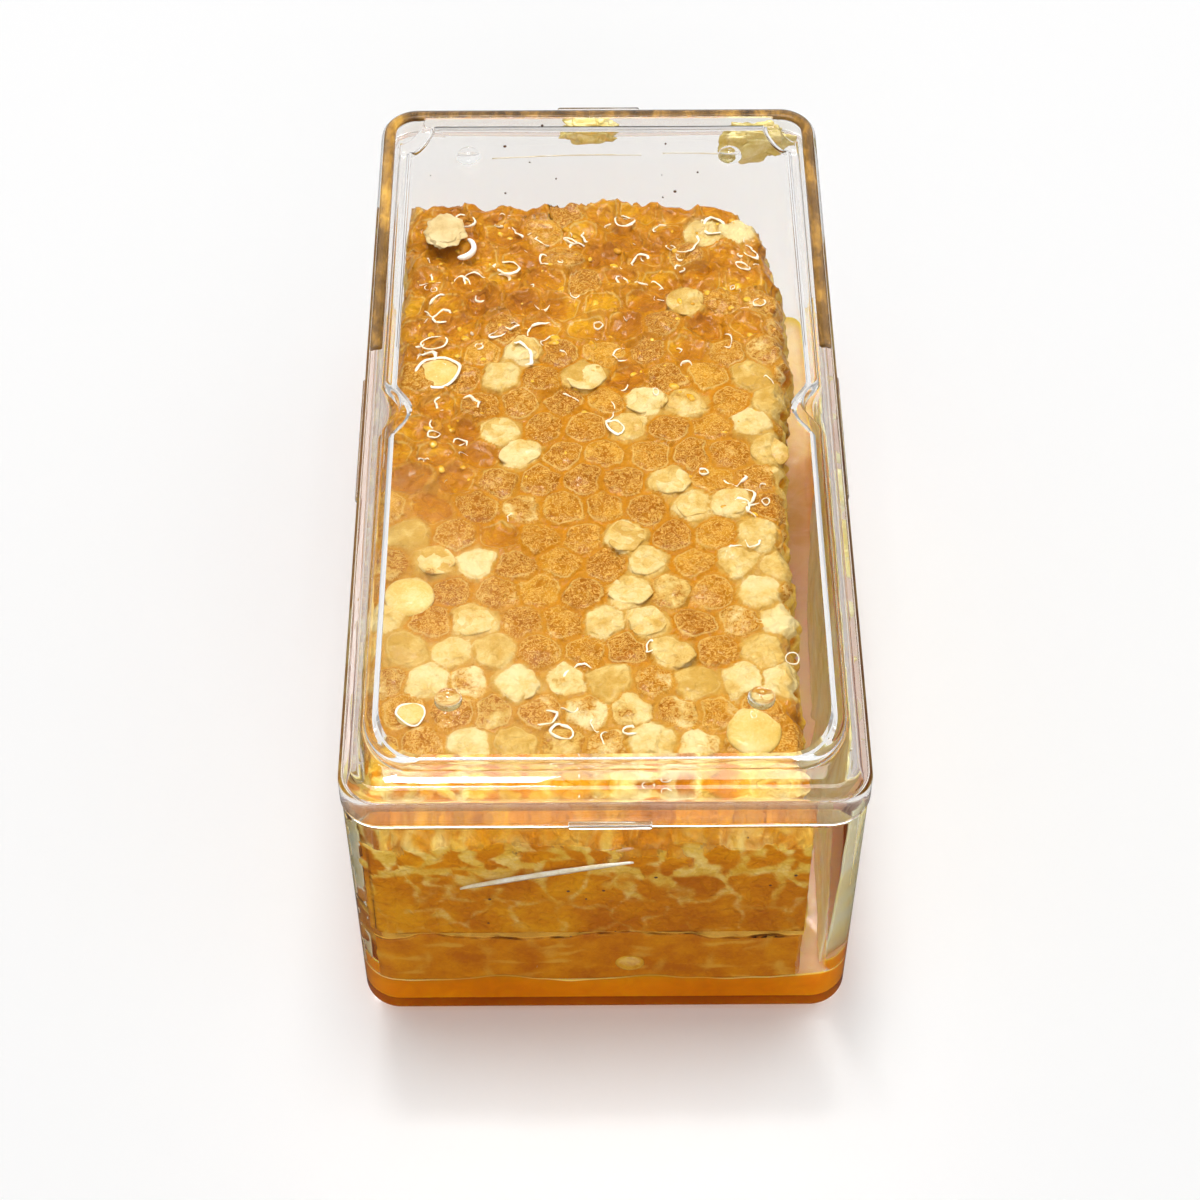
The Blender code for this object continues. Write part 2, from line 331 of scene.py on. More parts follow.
def soft_light(name, place, size, power):
    data = bpy.data.lights.new(name, "AREA")
    data.shape = "RECTANGLE"
    data.size, data.size_y = size
    data.energy = power
    light = bpy.data.objects.new(name, data)
    light.location = place
    light.rotation_euler = (Vector((0, 0, 0.02)) - Vector(place)).to_track_quat("-Z", "Y").to_euler()
    bpy.context.scene.collection.objects.link(light)


soft_light("overhead", (0.0, 0.36, 1.5), (0.8, 0.6), 10.2)
soft_light("sparkle", (-0.10, 0.50, 1.20), (0.16, 0.11), 2.8)
soft_light("front", (0.1, -1.2, 0.60), (0.9, 0.5), 3.4)

FLOOR_HALF = 1500.0
FLOOR_GAP = 0.15
PALE = (0.98, 0.98, 0.98, 1.0)
DIM = (0.10, 0.10, 0.10, 1.0)
floor_material, tree, shader = new_material("pale_floor", Roughness=0.9, Specular_IOR_Level=0.0)
rays = add(tree, "ShaderNodeLightPath")
mirrored = add_math(tree, "MULTIPLY", rays.outputs["Is Glossy Ray"], rays.outputs["Is Reflection Ray"])
first_bounce = add_math(tree, "LESS_THAN", rays.outputs["Ray Depth"], 1.5)
mirrored = add_math(tree, "MULTIPLY", mirrored, first_bounce)
tree.links.new(add_mix(tree, mirrored, PALE, DIM), shader.inputs["Base Color"])
corners = [(x * FLOOR_HALF, y * FLOOR_HALF, -FLOOR_GAP) for x, y in ((-1, -1), (1, -1), (1, 1), (-1, 1))]
to_object("floor", mesh_from("floor", corners, [(0, 1, 2, 3)]), floor_material)
print("three lights and a floor")

# %% [markdown]
# ## Clear plastic
#
# The box is moulded from hard clear plastic. Light that shines through such a wall would need very
# many samples, so shadow rays pass straight through it, and every other ray is bent as in glass. A ray
# that has run up and down inside a wall for long is let straight out too, or the wall would look black.
# A very slight waviness keeps the walls from looking like flat computer glass.


# %% Clear plastic
PLASTIC_TINT = (1.0, 0.995, 0.985, 1.0)
PLASTIC_IOR = 1.46


def clear_plastic(name):
    material, tree, shader = new_material(
        name, Base_Color=PLASTIC_TINT, Transmission_Weight=1.0, IOR=PLASTIC_IOR, Roughness=0.015
    )
    place = add(tree, "ShaderNodeTexCoord").outputs["Object"]
    waves = add(tree, "ShaderNodeTexNoise", {"Scale": 110.0, "Detail": 1.0})
    tree.links.new(place, waves.inputs["Vector"])
    bump = add(tree, "ShaderNodeBump", {"Strength": 0.25, "Distance": 0.0002})
    tree.links.new(waves.outputs["Fac"], bump.inputs["Height"])
    tree.links.new(bump.outputs["Normal"], shader.inputs["Normal"])
    passing = add(tree, "ShaderNodeBsdfTransparent", {"Color": (0.98, 0.98, 0.975, 1.0)})
    rays = add(tree, "ShaderNodeLightPath")
    either = add(tree, "ShaderNodeMixShader")
    trapped = add_math(tree, "GREATER_THAN", rays.outputs["Glossy Depth"], 1.5)
    straight_on = add_math(tree, "MAXIMUM", rays.outputs["Is Shadow Ray"], trapped)
    tree.links.new(straight_on, either.inputs["Fac"])
    tree.links.new(shader.outputs["BSDF"], either.inputs[1])
    tree.links.new(passing.outputs["BSDF"], either.inputs[2])
    tree.links.new(either.outputs["Shader"], tree.nodes["Material Output"].inputs["Surface"])
    return material


tray_plastic = clear_plastic("tray_plastic")
lid_plastic = clear_plastic("lid_plastic")
print("clear plastic bends light by", PLASTIC_IOR)

# %% [markdown]
# ## The tray and the lid
#
# Both are shells that follow one rounded outline at many heights. So each is a loft: rings of equal
# count, joined in order from the outside of the foot, over the rim and down the inside. The lid's
# raised panel has its own outline, with corners that step in at the back and are round at the front,
# and a rounded notch at the middle of each long side. Its rings have the same count as the others, so
# one loft can pass from the one outline to the other.
# Every edge between two walls gets a few rings of rounding, because a moulded edge is a fine bright
# line and never a knife edge.

# %% Outlines
SHARP = 32
CORNER_STEPS = 18
NOTCH_STEPS = 14
NOTCH_FULLNESS = 0.7
NOTCH_HALF_LENGTH = 4.3
NOTCH_DEPTH = 2.1
PANEL_INSET = (3.1, 4.6)
PANEL_STEP = (3.2, 5.4, "step")
PANEL_ROUND = (5.2, 7.0)


def corner_points(half_x, half_y, corner):
    """A corner from the side round to the end: round, or stepped in along a soft S."""
    for step in range(CORNER_STEPS + 1):
        share = step / CORNER_STEPS
        if len(corner) == 3:
            along = float(smooth_step(-0.1, 0.85, share))
            across = 1 - float(smooth_step(0.12, 1.05, share))
            yield half_x - corner[0] * along, half_y - corner[1] * across
        else:
            turn = share * math.pi / 2
            yield half_x - corner[0] * (1 - math.cos(turn)), half_y - corner[1] * (1 - math.sin(turn))


def outline(half_x, half_y, back_corner, front_corner, notch=0.0):
    """One ring, anticlockwise from the middle of the right side."""
    side = []
    for step in range(NOTCH_STEPS + 1):
        along = step / NOTCH_STEPS
        inward = notch * (0.5 + 0.5 * math.cos(math.pi * along)) ** NOTCH_FULLNESS
        side.append((half_x - inward, NOTCH_HALF_LENGTH * along))
    back = side + list(corner_points(half_x, half_y, back_corner))
    front = side[1:] + list(corner_points(half_x, half_y, front_corner))
    upper_left = [(-x, y) for x, y in reversed(back)]
    lower_left = [(-x, -y) for x, y in front]
    lower_right = [(x, -y) for x, y in reversed(front)]
    return back + upper_left + lower_left + lower_right


def rect_ring(inset, z):
    corner = [max(CORNER_RADIUS - inset, 0.8)] * 2
    return outline(HALF_WIDTH - inset, HALF_LENGTH - inset, corner, corner), z


def panel_ring(grow, z):
    half_x = HALF_WIDTH - PANEL_INSET[0] + grow
    half_y = HALF_LENGTH - PANEL_INSET[1] + grow
    return outline(half_x, half_y, PANEL_STEP, PANEL_ROUND, NOTCH_DEPTH), z


def loft(name, rings):
    """A closed mesh through rings of equal count, capped over its first and last ring."""
    points = [(x, y, z) for ring, z in rings for x, y in ring]
    mesh = mesh_from(name, points, capped_faces(len(rings), len(rings[0][0])))
    return smoothed(turn_outwards(mesh), SHARP)


def quarter_turn(ring, start, radius, z, up, out, steps=4):
    """Rings round an edge: ring(inset, z) moves by radius along up and out, +1 or -1 each."""
    rings = []
    for step in range(steps + 1):
        turn = math.pi / 2 * step / steps
        rings.append(ring(start + out * radius * (1 - math.cos(turn)), z + up * radius * math.sin(turn)))
    return rings


def arc_rings(inset_at, radius, bottom, steps):
    """Rings round a rounded lower edge, from the flat bottom up to the wall."""
    rings = []
    for step in range(steps + 1):
        turn = math.pi / 2 * step / steps
        z = bottom + radius * (1 - math.cos(turn))
        rings.append(rect_ring(inset_at(z) + radius * (1 - math.sin(turn)), z))
    return rings


def tray_outside(z):
    return TRAY_INSET + TRAY_DRAFT * (1 - z / SHOULDER_Z)


def tray_inside(z):
    return tray_outside(z) + WALL


print("a ring has", len(rect_ring(0, 0)[0]), "points")

# %% Lips, pips and joining
def with_additions(name, mesh, blocks, material):
    """Joins lips and pips to a shell."""
    obj = to_object(name, mesh, material)
    helpers = []
    for block in blocks:
        helper = to_object(name + "_helper", block, material)
        union = obj.modifiers.new("join", "BOOLEAN")
        union.operation = "UNION"
        union.solver = "EXACT"
        union.object = helper
        helpers.append(helper)
    bpy.context.view_layer.update()
    joined = baked(obj, name)
    for helper in helpers:
        bpy.data.objects.remove(helper, do_unlink=True)
    return to_object(name, smoothed(joined, SHARP), material)


def lip(middle, size):
    """A thin block with all its edges rounded."""

    def build(bm):
        bmesh.ops.create_cube(bm, size=1.0)
        bmesh.ops.scale(bm, vec=[length * MM for length in size], verts=bm.verts)
        bmesh.ops.bevel(bm, geom=bm.edges[:], offset=LIP_ROUNDING * MM, segments=3, profile=0.5, affect="EDGES")
        bmesh.ops.translate(bm, vec=[place * MM for place in middle], verts=bm.verts)

    return edited(bpy.data.meshes.new("lip"), build)


LIP_ROUNDING = 0.3
PIP_RISE = 1.25
PIP_RADIUS = 1.6
PIP_SEGMENTS = 32
PIP_ROOT = 0.4


def pip(x, y):
    """A low round dome with a small dimple, turned from its outline."""
    profile = [(0.18, PIP_RISE - 0.05)]
    for step in range(1, 9):
        turn = math.pi / 2 * step / 8
        profile.append((PIP_RADIUS * math.sin(turn), PIP_RISE * math.cos(turn)))
    profile.append((PIP_RADIUS, -PIP_ROOT))
    points = [(x, y, PANEL_TOP + PIP_RISE - 0.12), (x, y, PANEL_TOP - PIP_ROOT)]
    for radius, rise in profile:
        for index in range(PIP_SEGMENTS):
            turn = 2 * math.pi * index / PIP_SEGMENTS
            points.append((x + radius * math.cos(turn), y + radius * math.sin(turn), PANEL_TOP + rise))
    return turned("pip", points, PIP_SEGMENTS)


def turned(name, points, segments):
    """A closed form: the middle of its top, the middle of its bottom, then its rings from the top down."""
    rings = (len(points) - 2) // segments
    faces = [face for ring in range(rings - 1) for face in band_faces(2 + ring * segments, segments)]
    last = 2 + (rings - 1) * segments
    for index in range(segments):
        after = (index + 1) % segments
        faces.append((0, 2 + after, 2 + index))
        faces.append((1, last + index, last + after))
    return turn_outwards(mesh_from(name, points, faces))


print(f"a pip is {2 * PIP_RADIUS} mm wide")

# %% Tray
EDGE = 0.25
TONGUE_EDGE = 0.2
tray_rings = arc_rings(tray_outside, FOOT_RADIUS, 0.0, 10)
tray_rings += [rect_ring(TRAY_INSET, SHOULDER_Z - EDGE)]
tray_rings += quarter_turn(rect_ring, TRAY_INSET, EDGE, SHOULDER_Z - EDGE, 1, 1)[1:]
tray_rings += [rect_ring(TONGUE_INSET - 0.05, SHOULDER_Z), rect_ring(TONGUE_INSET, SHOULDER_Z + 0.05)]
tongue_edge = TONGUE_TOP - TONGUE_EDGE
tray_rings += quarter_turn(rect_ring, TONGUE_INSET, TONGUE_EDGE, tongue_edge, 1, 1)
tray_rings += quarter_turn(rect_ring, tray_inside(SHOULDER_Z), TONGUE_EDGE, tongue_edge, 1, -1)[::-1]
tray_rings += arc_rings(tray_inside, INSIDE_FOOT_RADIUS, FLOOR, 6)[::-1]

LIP_THICKNESS = 1.0
SIDE_LIP = (2.0, 21.0)
SIDE_LIP_PROUD = tray_high.x - HALF_WIDTH
side_lips = []
for side in (-1, 1):
    inner = HALF_WIDTH - TRAY_INSET - 0.5
    outer = HALF_WIDTH + SIDE_LIP_PROUD
    middle = (side * (inner + outer) / 2, SIDE_LIP[0], SHOULDER_Z - 1.5)
    side_lips.append(lip(middle, (outer - inner, SIDE_LIP[1], LIP_THICKNESS)))
tray = with_additions("tray_shell", loft("tray_shell", tray_rings), side_lips, tray_plastic)
finish_piece(tray, "tray_plastic", "tray")

# %% Lid
STEP_ROUNDING = 0.5
PIP_PLACE = (17.7, 46.6)
BACK_LIP = lid_high.y - HALF_LENGTH
lid_rings = [
    panel_ring(-LID_WALL, PANEL_TOP - LID_WALL),
    panel_ring(0.3 - LID_WALL, PANEL_TOP - LID_WALL - 0.3),
    panel_ring(0.4 - LID_WALL, RING_TOP - LID_WALL + 0.3),
    panel_ring(0.7 - LID_WALL, RING_TOP - LID_WALL),
]
lid_rings += quarter_turn(rect_ring, SKIRT_WALL, 0.3, RING_TOP - LID_WALL - 0.3, 1, 1)[::-1]
lid_rings += [rect_ring(SKIRT_WALL, lid_low.z + 0.2), rect_ring(SKIRT_WALL - 0.2, lid_low.z)]
lid_rings += [rect_ring(0.2, lid_low.z), rect_ring(0.06, lid_low.z + 0.06), rect_ring(0.0, lid_low.z + 0.2)]
lid_rings += quarter_turn(rect_ring, 0.0, RING_TOP - SKIRT_TOP, SKIRT_TOP, 1, 1, 9)
lid_rings += [panel_ring(0.75, RING_TOP), panel_ring(0.50, RING_TOP + 0.08), panel_ring(0.38, RING_TOP + 0.3)]
lid_rings += quarter_turn(
    lambda inset, z: panel_ring(0.3 - inset, z), 0.0, STEP_ROUNDING, PANEL_TOP - STEP_ROUNDING, 1, 1, 5
)
additions = [pip(x * PIP_PLACE[0], y * PIP_PLACE[1]) for x in (-1, 1) for y in (-1, 1)]
additions.append(lip((0, HALF_LENGTH + BACK_LIP / 2 - 0.2, 41.9), (11.4, BACK_LIP + 0.4, LIP_THICKNESS)))
additions.append(lip((0.5, -HALF_LENGTH - 0.15, 40.0), (9.4, 0.9, LIP_THICKNESS)))
lid = with_additions("lid_shell", loft("lid_shell", lid_rings), additions, lid_plastic)
finish_piece(lid, "lid_plastic", "lid")

# %% [markdown]
# ## Two effects that several materials share
#
# Wax and honey are never one even colour, and both are wet. So the mottling and the ripples of
# a wet surface are node groups: built once, and placed in each material with their own sizes. Most
# waxes and honeys then differ only by a few colours and numbers, which one function takes.


# %% Shader groups
def new_group(name, inputs, outputs):
    group = bpy.data.node_groups.new(name, "ShaderNodeTree")
    for socket, kind, default in inputs:
        made = group.interface.new_socket(socket, in_out="INPUT", socket_type=kind)
        if default is not None:
            made.default_value = default
    for socket, kind in outputs:
        group.interface.new_socket(socket, in_out="OUTPUT", socket_type=kind)
    return group, add(group, "NodeGroupInput"), add(group, "NodeGroupOutput")


def make_mottle():
    """Soft blotches and a fine crumpled grain, each a value round 0.5."""
    group, given, result = new_group(
        "wax mottling",
        [
            ("Vector", "NodeSocketVector", None),
            ("Blotches", "NodeSocketFloat", 300.0),
            ("Grain", "NodeSocketFloat", 1500.0),
        ],
        [("Value", "NodeSocketFloat"), ("Crumple", "NodeSocketFloat")],
    )
    blotches = add(group, "ShaderNodeTexNoise", {"Detail": 3.0, "Roughness": 0.55})
    grain = add(group, "ShaderNodeTexNoise", {"Detail": 3.0, "Roughness": 0.6, "Distortion": 1.6})
    for node, scale in ((blotches, "Blotches"), (grain, "Grain")):
        group.links.new(given.outputs["Vector"], node.inputs["Vector"])
        group.links.new(given.outputs[scale], node.inputs["Scale"])
    share = add_math(group, "MULTIPLY", grain.outputs["Fac"], 0.3)
    rest = add_math(group, "MULTIPLY", blotches.outputs["Fac"], 0.7)
    group.links.new(add_math(group, "ADD", share, rest), result.inputs["Value"])
    folds = add_math(group, "ABSOLUTE", add_math(group, "SUBTRACT", grain.outputs["Fac"], 0.5))
    group.links.new(add_range(group, folds, 0.06, 0.0), result.inputs["Crumple"])
    return group


def make_ripples():
    """The height of a wet film: soft swells with smaller ones on them."""
    group, given, result = new_group(
        "wet ripples",
        [("Vector", "NodeSocketVector", None), ("Scale", "NodeSocketFloat", 500.0)],
        [("Height", "NodeSocketFloat")],
    )
    swell = add(group, "ShaderNodeTexNoise", {"Detail": 2.0, "Roughness": 0.4, "Distortion": 0.6})
    group.links.new(given.outputs["Vector"], swell.inputs["Vector"])
    group.links.new(given.outputs["Scale"], swell.inputs["Scale"])
    group.links.new(swell.outputs["Fac"], result.inputs["Height"])
    return group


MOTTLE = make_mottle()
RIPPLES = make_ripples()


def place_group(tree, group, vector, **values):
    node = add(tree, "ShaderNodeGroup", node_tree=group)
    tree.links.new(vector, node.inputs["Vector"])
    for socket, value in values.items():
        node.inputs[socket].default_value = value
    return node


def read_value(tree, name):
    return add(tree, "ShaderNodeAttribute", attribute_name=name).outputs["Fac"]


def object_place(tree):
    return add(tree, "ShaderNodeTexCoord").outputs["Object"]


def add_ripples(tree, shader, scale, distance):
    """A wet surface: ripples bend the normal."""
    ripples = place_group(tree, RIPPLES, object_place(tree), Scale=scale)
    bump = add(tree, "ShaderNodeBump", {"Strength": 1.0, "Distance": distance})
    tree.links.new(ripples.outputs["Height"], bump.inputs["Height"])
    tree.links.new(bump.outputs["Normal"], shader.inputs["Normal"])


def wet_finish(shader, roughness, coat):
    set_up(shader, Roughness=roughness, Coat_Weight=coat, Coat_Roughness=0.04, Coat_IOR=1.45)


def mottled(name, sizes, stops, finish, ripples=None, stretch=None, **settings):
    """A wet material. sizes are those of blotches and grain, finish is roughness and coat, ripples
    are scale and distance, and stretch draws the mottling out."""
    material, tree, shader = new_material(name, **settings)
    place = object_place(tree)
    if stretch:
        mapping = add(tree, "ShaderNodeMapping", {"Scale": stretch})
        tree.links.new(place, mapping.inputs["Vector"])
        place = mapping.outputs["Vector"]
    mottle = place_group(tree, MOTTLE, place, Blotches=sizes[0], Grain=sizes[1])
    tree.links.new(add_ramp(tree, mottle.outputs["Value"], stops), shader.inputs["Base Color"])
    wet_finish(shader, *finish)
    if ripples:
        add_ripples(tree, shader, *ripples)
    return material


print("shared effects:", MOTTLE.name, "and", RIPPLES.name)

# %% [markdown]
# ## Run-off honey
#
# The honey lies over the whole floor and climbs a little where it wets the walls, in waves. It is a
# loft of the tray's own inside outline, taken in short even steps so that its edge can wave. It
# reaches a hair's breadth into the wall, because a gap of air between honey and plastic would mirror
# like quicksilver. Seen from the side it is deep orange, and on top it is painted the colour of toffee
# with cream: painted light, for the pale table's light seen through the thin layer. Real honey passes
# light on to its underside; light under the skin and a very faint glow stand in for that.

# %% Honey pool
INTO_WALL = 0.07
MENISCUS = 0.5
STEP = 0.5
LINE_TURN = 0.9 * STEP / 3.1


def pool_inset(z):
    return tray_inside(z) - INTO_WALL


def even_ring(ring, step=STEP):
    """The same closed line in equal short steps."""
    line = np.array(ring + ring[:1])
    lengths = np.concatenate([[0], np.cumsum(np.hypot(*np.diff(line, axis=0).T))])
    places = np.linspace(0, lengths[-1], 4 * round(lengths[-1] / step / 4) + 1)[:-1]
    return np.column_stack([np.interp(places, lengths, line[:, axis]) for axis in (0, 1)])


def wave_of(ring, size, seed):
    return noise_at(np.column_stack([ring, np.zeros(len(ring))]), size, seed)


honey_material, tree, shader = new_material(
    "run_off_honey",
    Specular_IOR_Level=0.0,
    Subsurface_Weight=1.0,
    Subsurface_Scale=0.004,
    Subsurface_Radius=(1.0, 0.6, 0.1),
    Emission_Color=(1.0, 0.16, 0.0, 1.0),
    Emission_Strength=0.09,
)
mottle = place_group(tree, MOTTLE, object_place(tree), Blotches=55.0, Grain=260.0)
side_color = add_ramp(
    tree,
    mottle.outputs["Value"],
    [(0.35, (0.52, 0.165, 0.0)), (0.5, (0.63, 0.215, 0.0)), (0.65, (0.74, 0.29, 0.001))],
)
# Painted light: the paler top stands for the table's light seen through a thin layer of honey.
above_color = add_ramp(
    tree,
    mottle.outputs["Value"],
    [(0.35, (0.74, 0.48, 0.16)), (0.5, (0.86, 0.66, 0.34)), (0.65, (0.92, 0.76, 0.46))],
)
honey_color = add_mix(tree, read_value(tree, "above"), side_color, above_color)
line_color = (1.0, 0.74, 0.20, 1.0)
tree.links.new(add_mix(tree, read_value(tree, "line"), honey_color, line_color), shader.inputs["Base Color"])
wet_finish(shader, 0.1, 0.0)
tree.links.new(read_value(tree, "above"), shader.inputs["Coat Weight"])
print("the honey's surface lies at", round(pool_high.z - MENISCUS, 2), "mm")

# %% Shape of the pool
pool_heights = []
for ring, z in arc_rings(pool_inset, INSIDE_FOOT_RADIUS, FLOOR - INTO_WALL, 6):
    pool_heights.append((even_ring(ring), z, 0.0, 0.0, 0.0))
wall_at_level = pool_inset(pool_high.z)
level = pool_high.z - MENISCUS
# Each step of the wet edge: inset, rise over the level, share of the look from above, bright line.
EDGE_STEPS = (
    (0.0, MENISCUS - 0.28, 0.0, 0.0), (0.0, MENISCUS - 0.22, 0.0, 1.0), (0.0, MENISCUS, 0.0, 1.0),
    (0.18, MENISCUS - 0.03, 0.3, 0.6), (0.5, 0.25 * MENISCUS, 0.7, 0.0), (1.2, 0.0, 1.0, 0.0),
)
for inset, rise, above, line in EDGE_STEPS:
    ring = even_ring(rect_ring(wall_at_level + inset, 0)[0])
    pool_heights.append((ring, level + rise, above, line, max(0.0, 1.0 - inset)))
count = min(len(entry[0]) for entry in pool_heights)
pool_rings, above_values, line_values = [], [], []
for ring, z, above, line, sway in pool_heights:
    places = np.linspace(0, len(ring), count, endpoint=False)
    closed = np.vstack([ring, ring[:1]])
    ring = np.column_stack([np.interp(places, np.arange(len(ring) + 1), closed[:, axis]) for axis in (0, 1)])
    wave = 0.75 * wave_of(ring, 9.0, 3) + 0.45 * wave_of(ring, 3.4, 4)
    block = np.column_stack([ring, z + sway * wave])
    pool_rings.append(block)
    above_values += [above] * count
    bright = [max(0.0, math.sin(LINE_TURN * index) + 0.35) for index in range(count)]
    line_values += [line * (0.35 + 0.65 * share) for share in bright]
pool_mesh = mesh_from("honey_layer", np.concatenate(pool_rings), capped_faces(len(pool_rings), count))
smoothed(turn_outwards(pool_mesh), 50)
store(pool_mesh, "above", above_values)
store(pool_mesh, "line", np.clip(line_values, 0, 1))
pool = to_object("honey_layer", pool_mesh, honey_material)
finish_piece(pool, "honey", "honey_pool")

# %% [markdown]
# ## The lattice of cells
#
# Bees build six-sided cells in rows. Here they run across the box with their points to the front and
# the back. Each cell's middle is moved a little at random, and what lies nearest to a middle is that
# cell, so the walls come out uneven as in a real comb. A cell is under a tan lid, under a thick pale
# lid, or melted and brimming with honey. The back third was torn more, so it is wetter, and the
# front third has more fresh pale wax.

# %% Cells
CELL_PITCH = 5.24
ROW_PITCH = CELL_PITCH * math.sqrt(3) / 2
LATTICE_START = (3.0, 2.1)
COMB_TOP = comb_high.z - 0.75
LEFT, RIGHT = comb_low.x, comb_high.x
FRONT, BACK = comb_low.y, comb_high.y
chance = random.Random(23)

PALE_PLACES = [
    (-2, 12), (-10, 17), (11, 27), (5, 7), (10, 6), (-13, 2), (3, 2), (-11, -2), (20, 0), (8, -8),
    (11, -12), (16, -12), (-23, -17), (3, -18), (20, -16), (-20, -22), (-15, -22), (6, -22), (16, -21),
    (3, -27), (18, -26), (-15, -31), (0, -31), (5, -31), (-12, -35), (-23, -35), (-19, -35), (9, -34),
    (18, -34), (1, -39), (15, -39), (-20, -39), (-9, -40), (7, -47), (-13, -48), (-14, 12), (19, 12),
    (14, 40), (19, 40), (21, 6), (22, -8), (22, -21), (22, -30), (-24, -30), (23, -40), (11, -39),
]

cells = []
for row in range(-14, 12):
    for column in range(-8, 6):
        x = LATTICE_START[0] + CELL_PITCH * (column + 0.5 * (row % 2)) + chance.uniform(-0.45, 0.45)
        y = LATTICE_START[1] + ROW_PITCH * row + chance.uniform(-0.40, 0.40)
        swell = noise.noise(Vector((x / 11, y / 11, 4.2)))
        wet = float(smooth_step(2.0, 34.0, y + 14 * swell))
        wet = max(wet, 0.8 * float(smooth_step(-11.0, -19.0, x) * smooth_step(-14.0, -6.0, y)))
        cream = float(smooth_step(-16.0, -40.0, y + 12 * swell))
        cream = max(cream, 0.45 * float(smooth_step(15.0, 21.0, abs(x + 1.5))))
        listed = min(math.hypot(x - px, (y - py)) for px, py in PALE_PLACES) < 2.7
        melted = not listed and chance.random() < 0.04 + 0.8 * wet
        pale = chance.uniform(0.8, 1.0) if listed else chance.gauss(0.42 * cream, 0.17)
        pale = pale if listed else min(0.75, max(0.0, pale))
        cells.append(
            {
                "x": x,
                "y": y,
                "open": 1.0 if melted else 0.0,
                "pale": pale,
                "tone": chance.random(),
                "lift": chance.uniform(-0.12, 0.12) * (1 + 2 * wet) + (0.12 if listed else 0.0),
                "tilt_x": chance.gauss(0, 0.035) * (1 + 2 * wet),
                "tilt_y": chance.gauss(0, 0.035) * (1 + 2 * wet),
            }
        )
print(len(cells), "cells,", sum(cell["open"] > 0 for cell in cells), "of them melted")

# %% [markdown]
# ## The upper comb
#
# The piece is one closed skin: a top made of cells, and four cut or torn sides. A grid is bent to the
# piece's outline, and its edges run on down the sides, so the top and the sides share their points.
# The front is pressed against the box: there the skin reaches just into the wall, so that it looks
# wet against it. The left side leans on the wall, and the right and the back are torn and stand free.


# %% Outline of the piece
def torn(position, size, seed):
    return noise.noise(Vector((position / size, seed, 0.3)))


def right_edge(y):
    """The torn right side, in steps of about a cell."""
    sway = 22.6 + 0.7 * math.sin(y / 11.0) - 0.5 * math.cos(y / 6.5)
    return sway + 1.1 * torn(y, 3.1, 5.0) + 0.6 * torn(y, 1.1, 9.0)


def left_edge(y):
    """Against the wall at the front, a little clear of it at the back."""
    return LEFT - 0.2 + 1.6 * float(smooth_step(-30, 40, y)) + 0.6 * torn(y, 4.0, 2.0)


def back_edge(x):
    corner = 5.0 * float(smooth_step(17.5, 22.5, x)) + 0.8 * float(smooth_step(-18.0, -26.0, x))
    return BACK - 0.4 - corner + 0.9 * torn(x, 3.7, 7.0) + 0.5 * torn(x, 1.2, 3.0)


def front_edge(x):
    return -(HALF_LENGTH - tray_inside(33.0))


PRESS = 0.05


def inside_tray(x, y, z):
    """Holds a point back to the tray's inner face, or just into it."""
    half_x = HALF_WIDTH - tray_inside(z) + PRESS
    half_y = HALF_LENGTH - tray_inside(z) + PRESS
    radius = CORNER_RADIUS - tray_inside(z) + PRESS
    x = max(-half_x, min(half_x, x))
    y = max(-half_y, min(half_y, y))
    past_x, past_y = abs(x) - (half_x - radius), abs(y) - (half_y - radius)
    reach = math.hypot(past_x, past_y)
    if past_x > 0 and past_y > 0 and reach > radius:
        x = math.copysign(half_x - radius + past_x * radius / reach, x)
        y = math.copysign(half_y - radius + past_y * radius / reach, y)
    return x, y


ACROSS, ALONG, DOWN = 150, 300, 46


def plan_point(u, v):
    """The place in plan of a point that is a share u across and v along the piece."""
    x_guess = LEFT + (RIGHT - LEFT) * u
    y = front_edge(x_guess) + (back_edge(x_guess) - front_edge(x_guess)) * v
    x = left_edge(y) + (right_edge(y) - left_edge(y)) * u
    return inside_tray(x, y, 36.0)


plan = np.array([[plan_point(i / ACROSS, j / ALONG) for j in range(ALONG + 1)] for i in range(ACROSS + 1)])
print("plan of the comb:", plan.shape[0], "by", plan.shape[1], "points")


# %% Height of the top
def nearest_cells(xy, middles):
    """For each point: its cell's number, its offset from that cell's middle, and how far the wall is."""
    offsets = xy[:, None, :] - middles[None, :, :]
    distances = np.hypot(offsets[..., 0], offsets[..., 1])
    order = np.argpartition(distances, 1, axis=1)[:, :2]
    rows = np.arange(len(xy))
    first, second = order[:, 0], order[:, 1]
    swap = distances[rows, first] > distances[rows, second]
    first, second = np.where(swap, second, first), np.where(swap, first, second)
    apart = np.hypot(*(middles[second] - middles[first]).T)
    gap = (distances[rows, second] ** 2 - distances[rows, first] ** 2) / (2 * apart)
    return first, offsets[rows, first], gap


def of_cells(numbers, name):
    return np.array([cell[name] for cell in cells])[numbers]


flat = plan.reshape(-1, 2)
flat3 = np.column_stack([flat, np.zeros(len(flat))])
warp = np.column_stack([noise_at(flat3, 2.6, 1), noise_at(flat3, 2.6, 2)]) * 0.75
warp += np.column_stack([noise_at(flat3, 0.8, 8), noise_at(flat3, 0.8, 9)]) * 0.22
cell_middles = np.array([(cell["x"], cell["y"]) for cell in cells])
number, offset, wall_gap = nearest_cells(flat + warp, cell_middles)
is_open = of_cells(number, "open")
lift = of_cells(number, "lift")
tilt = of_cells(number, "tilt_x") * offset[:, 0] + of_cells(number, "tilt_y") * offset[:, 1]

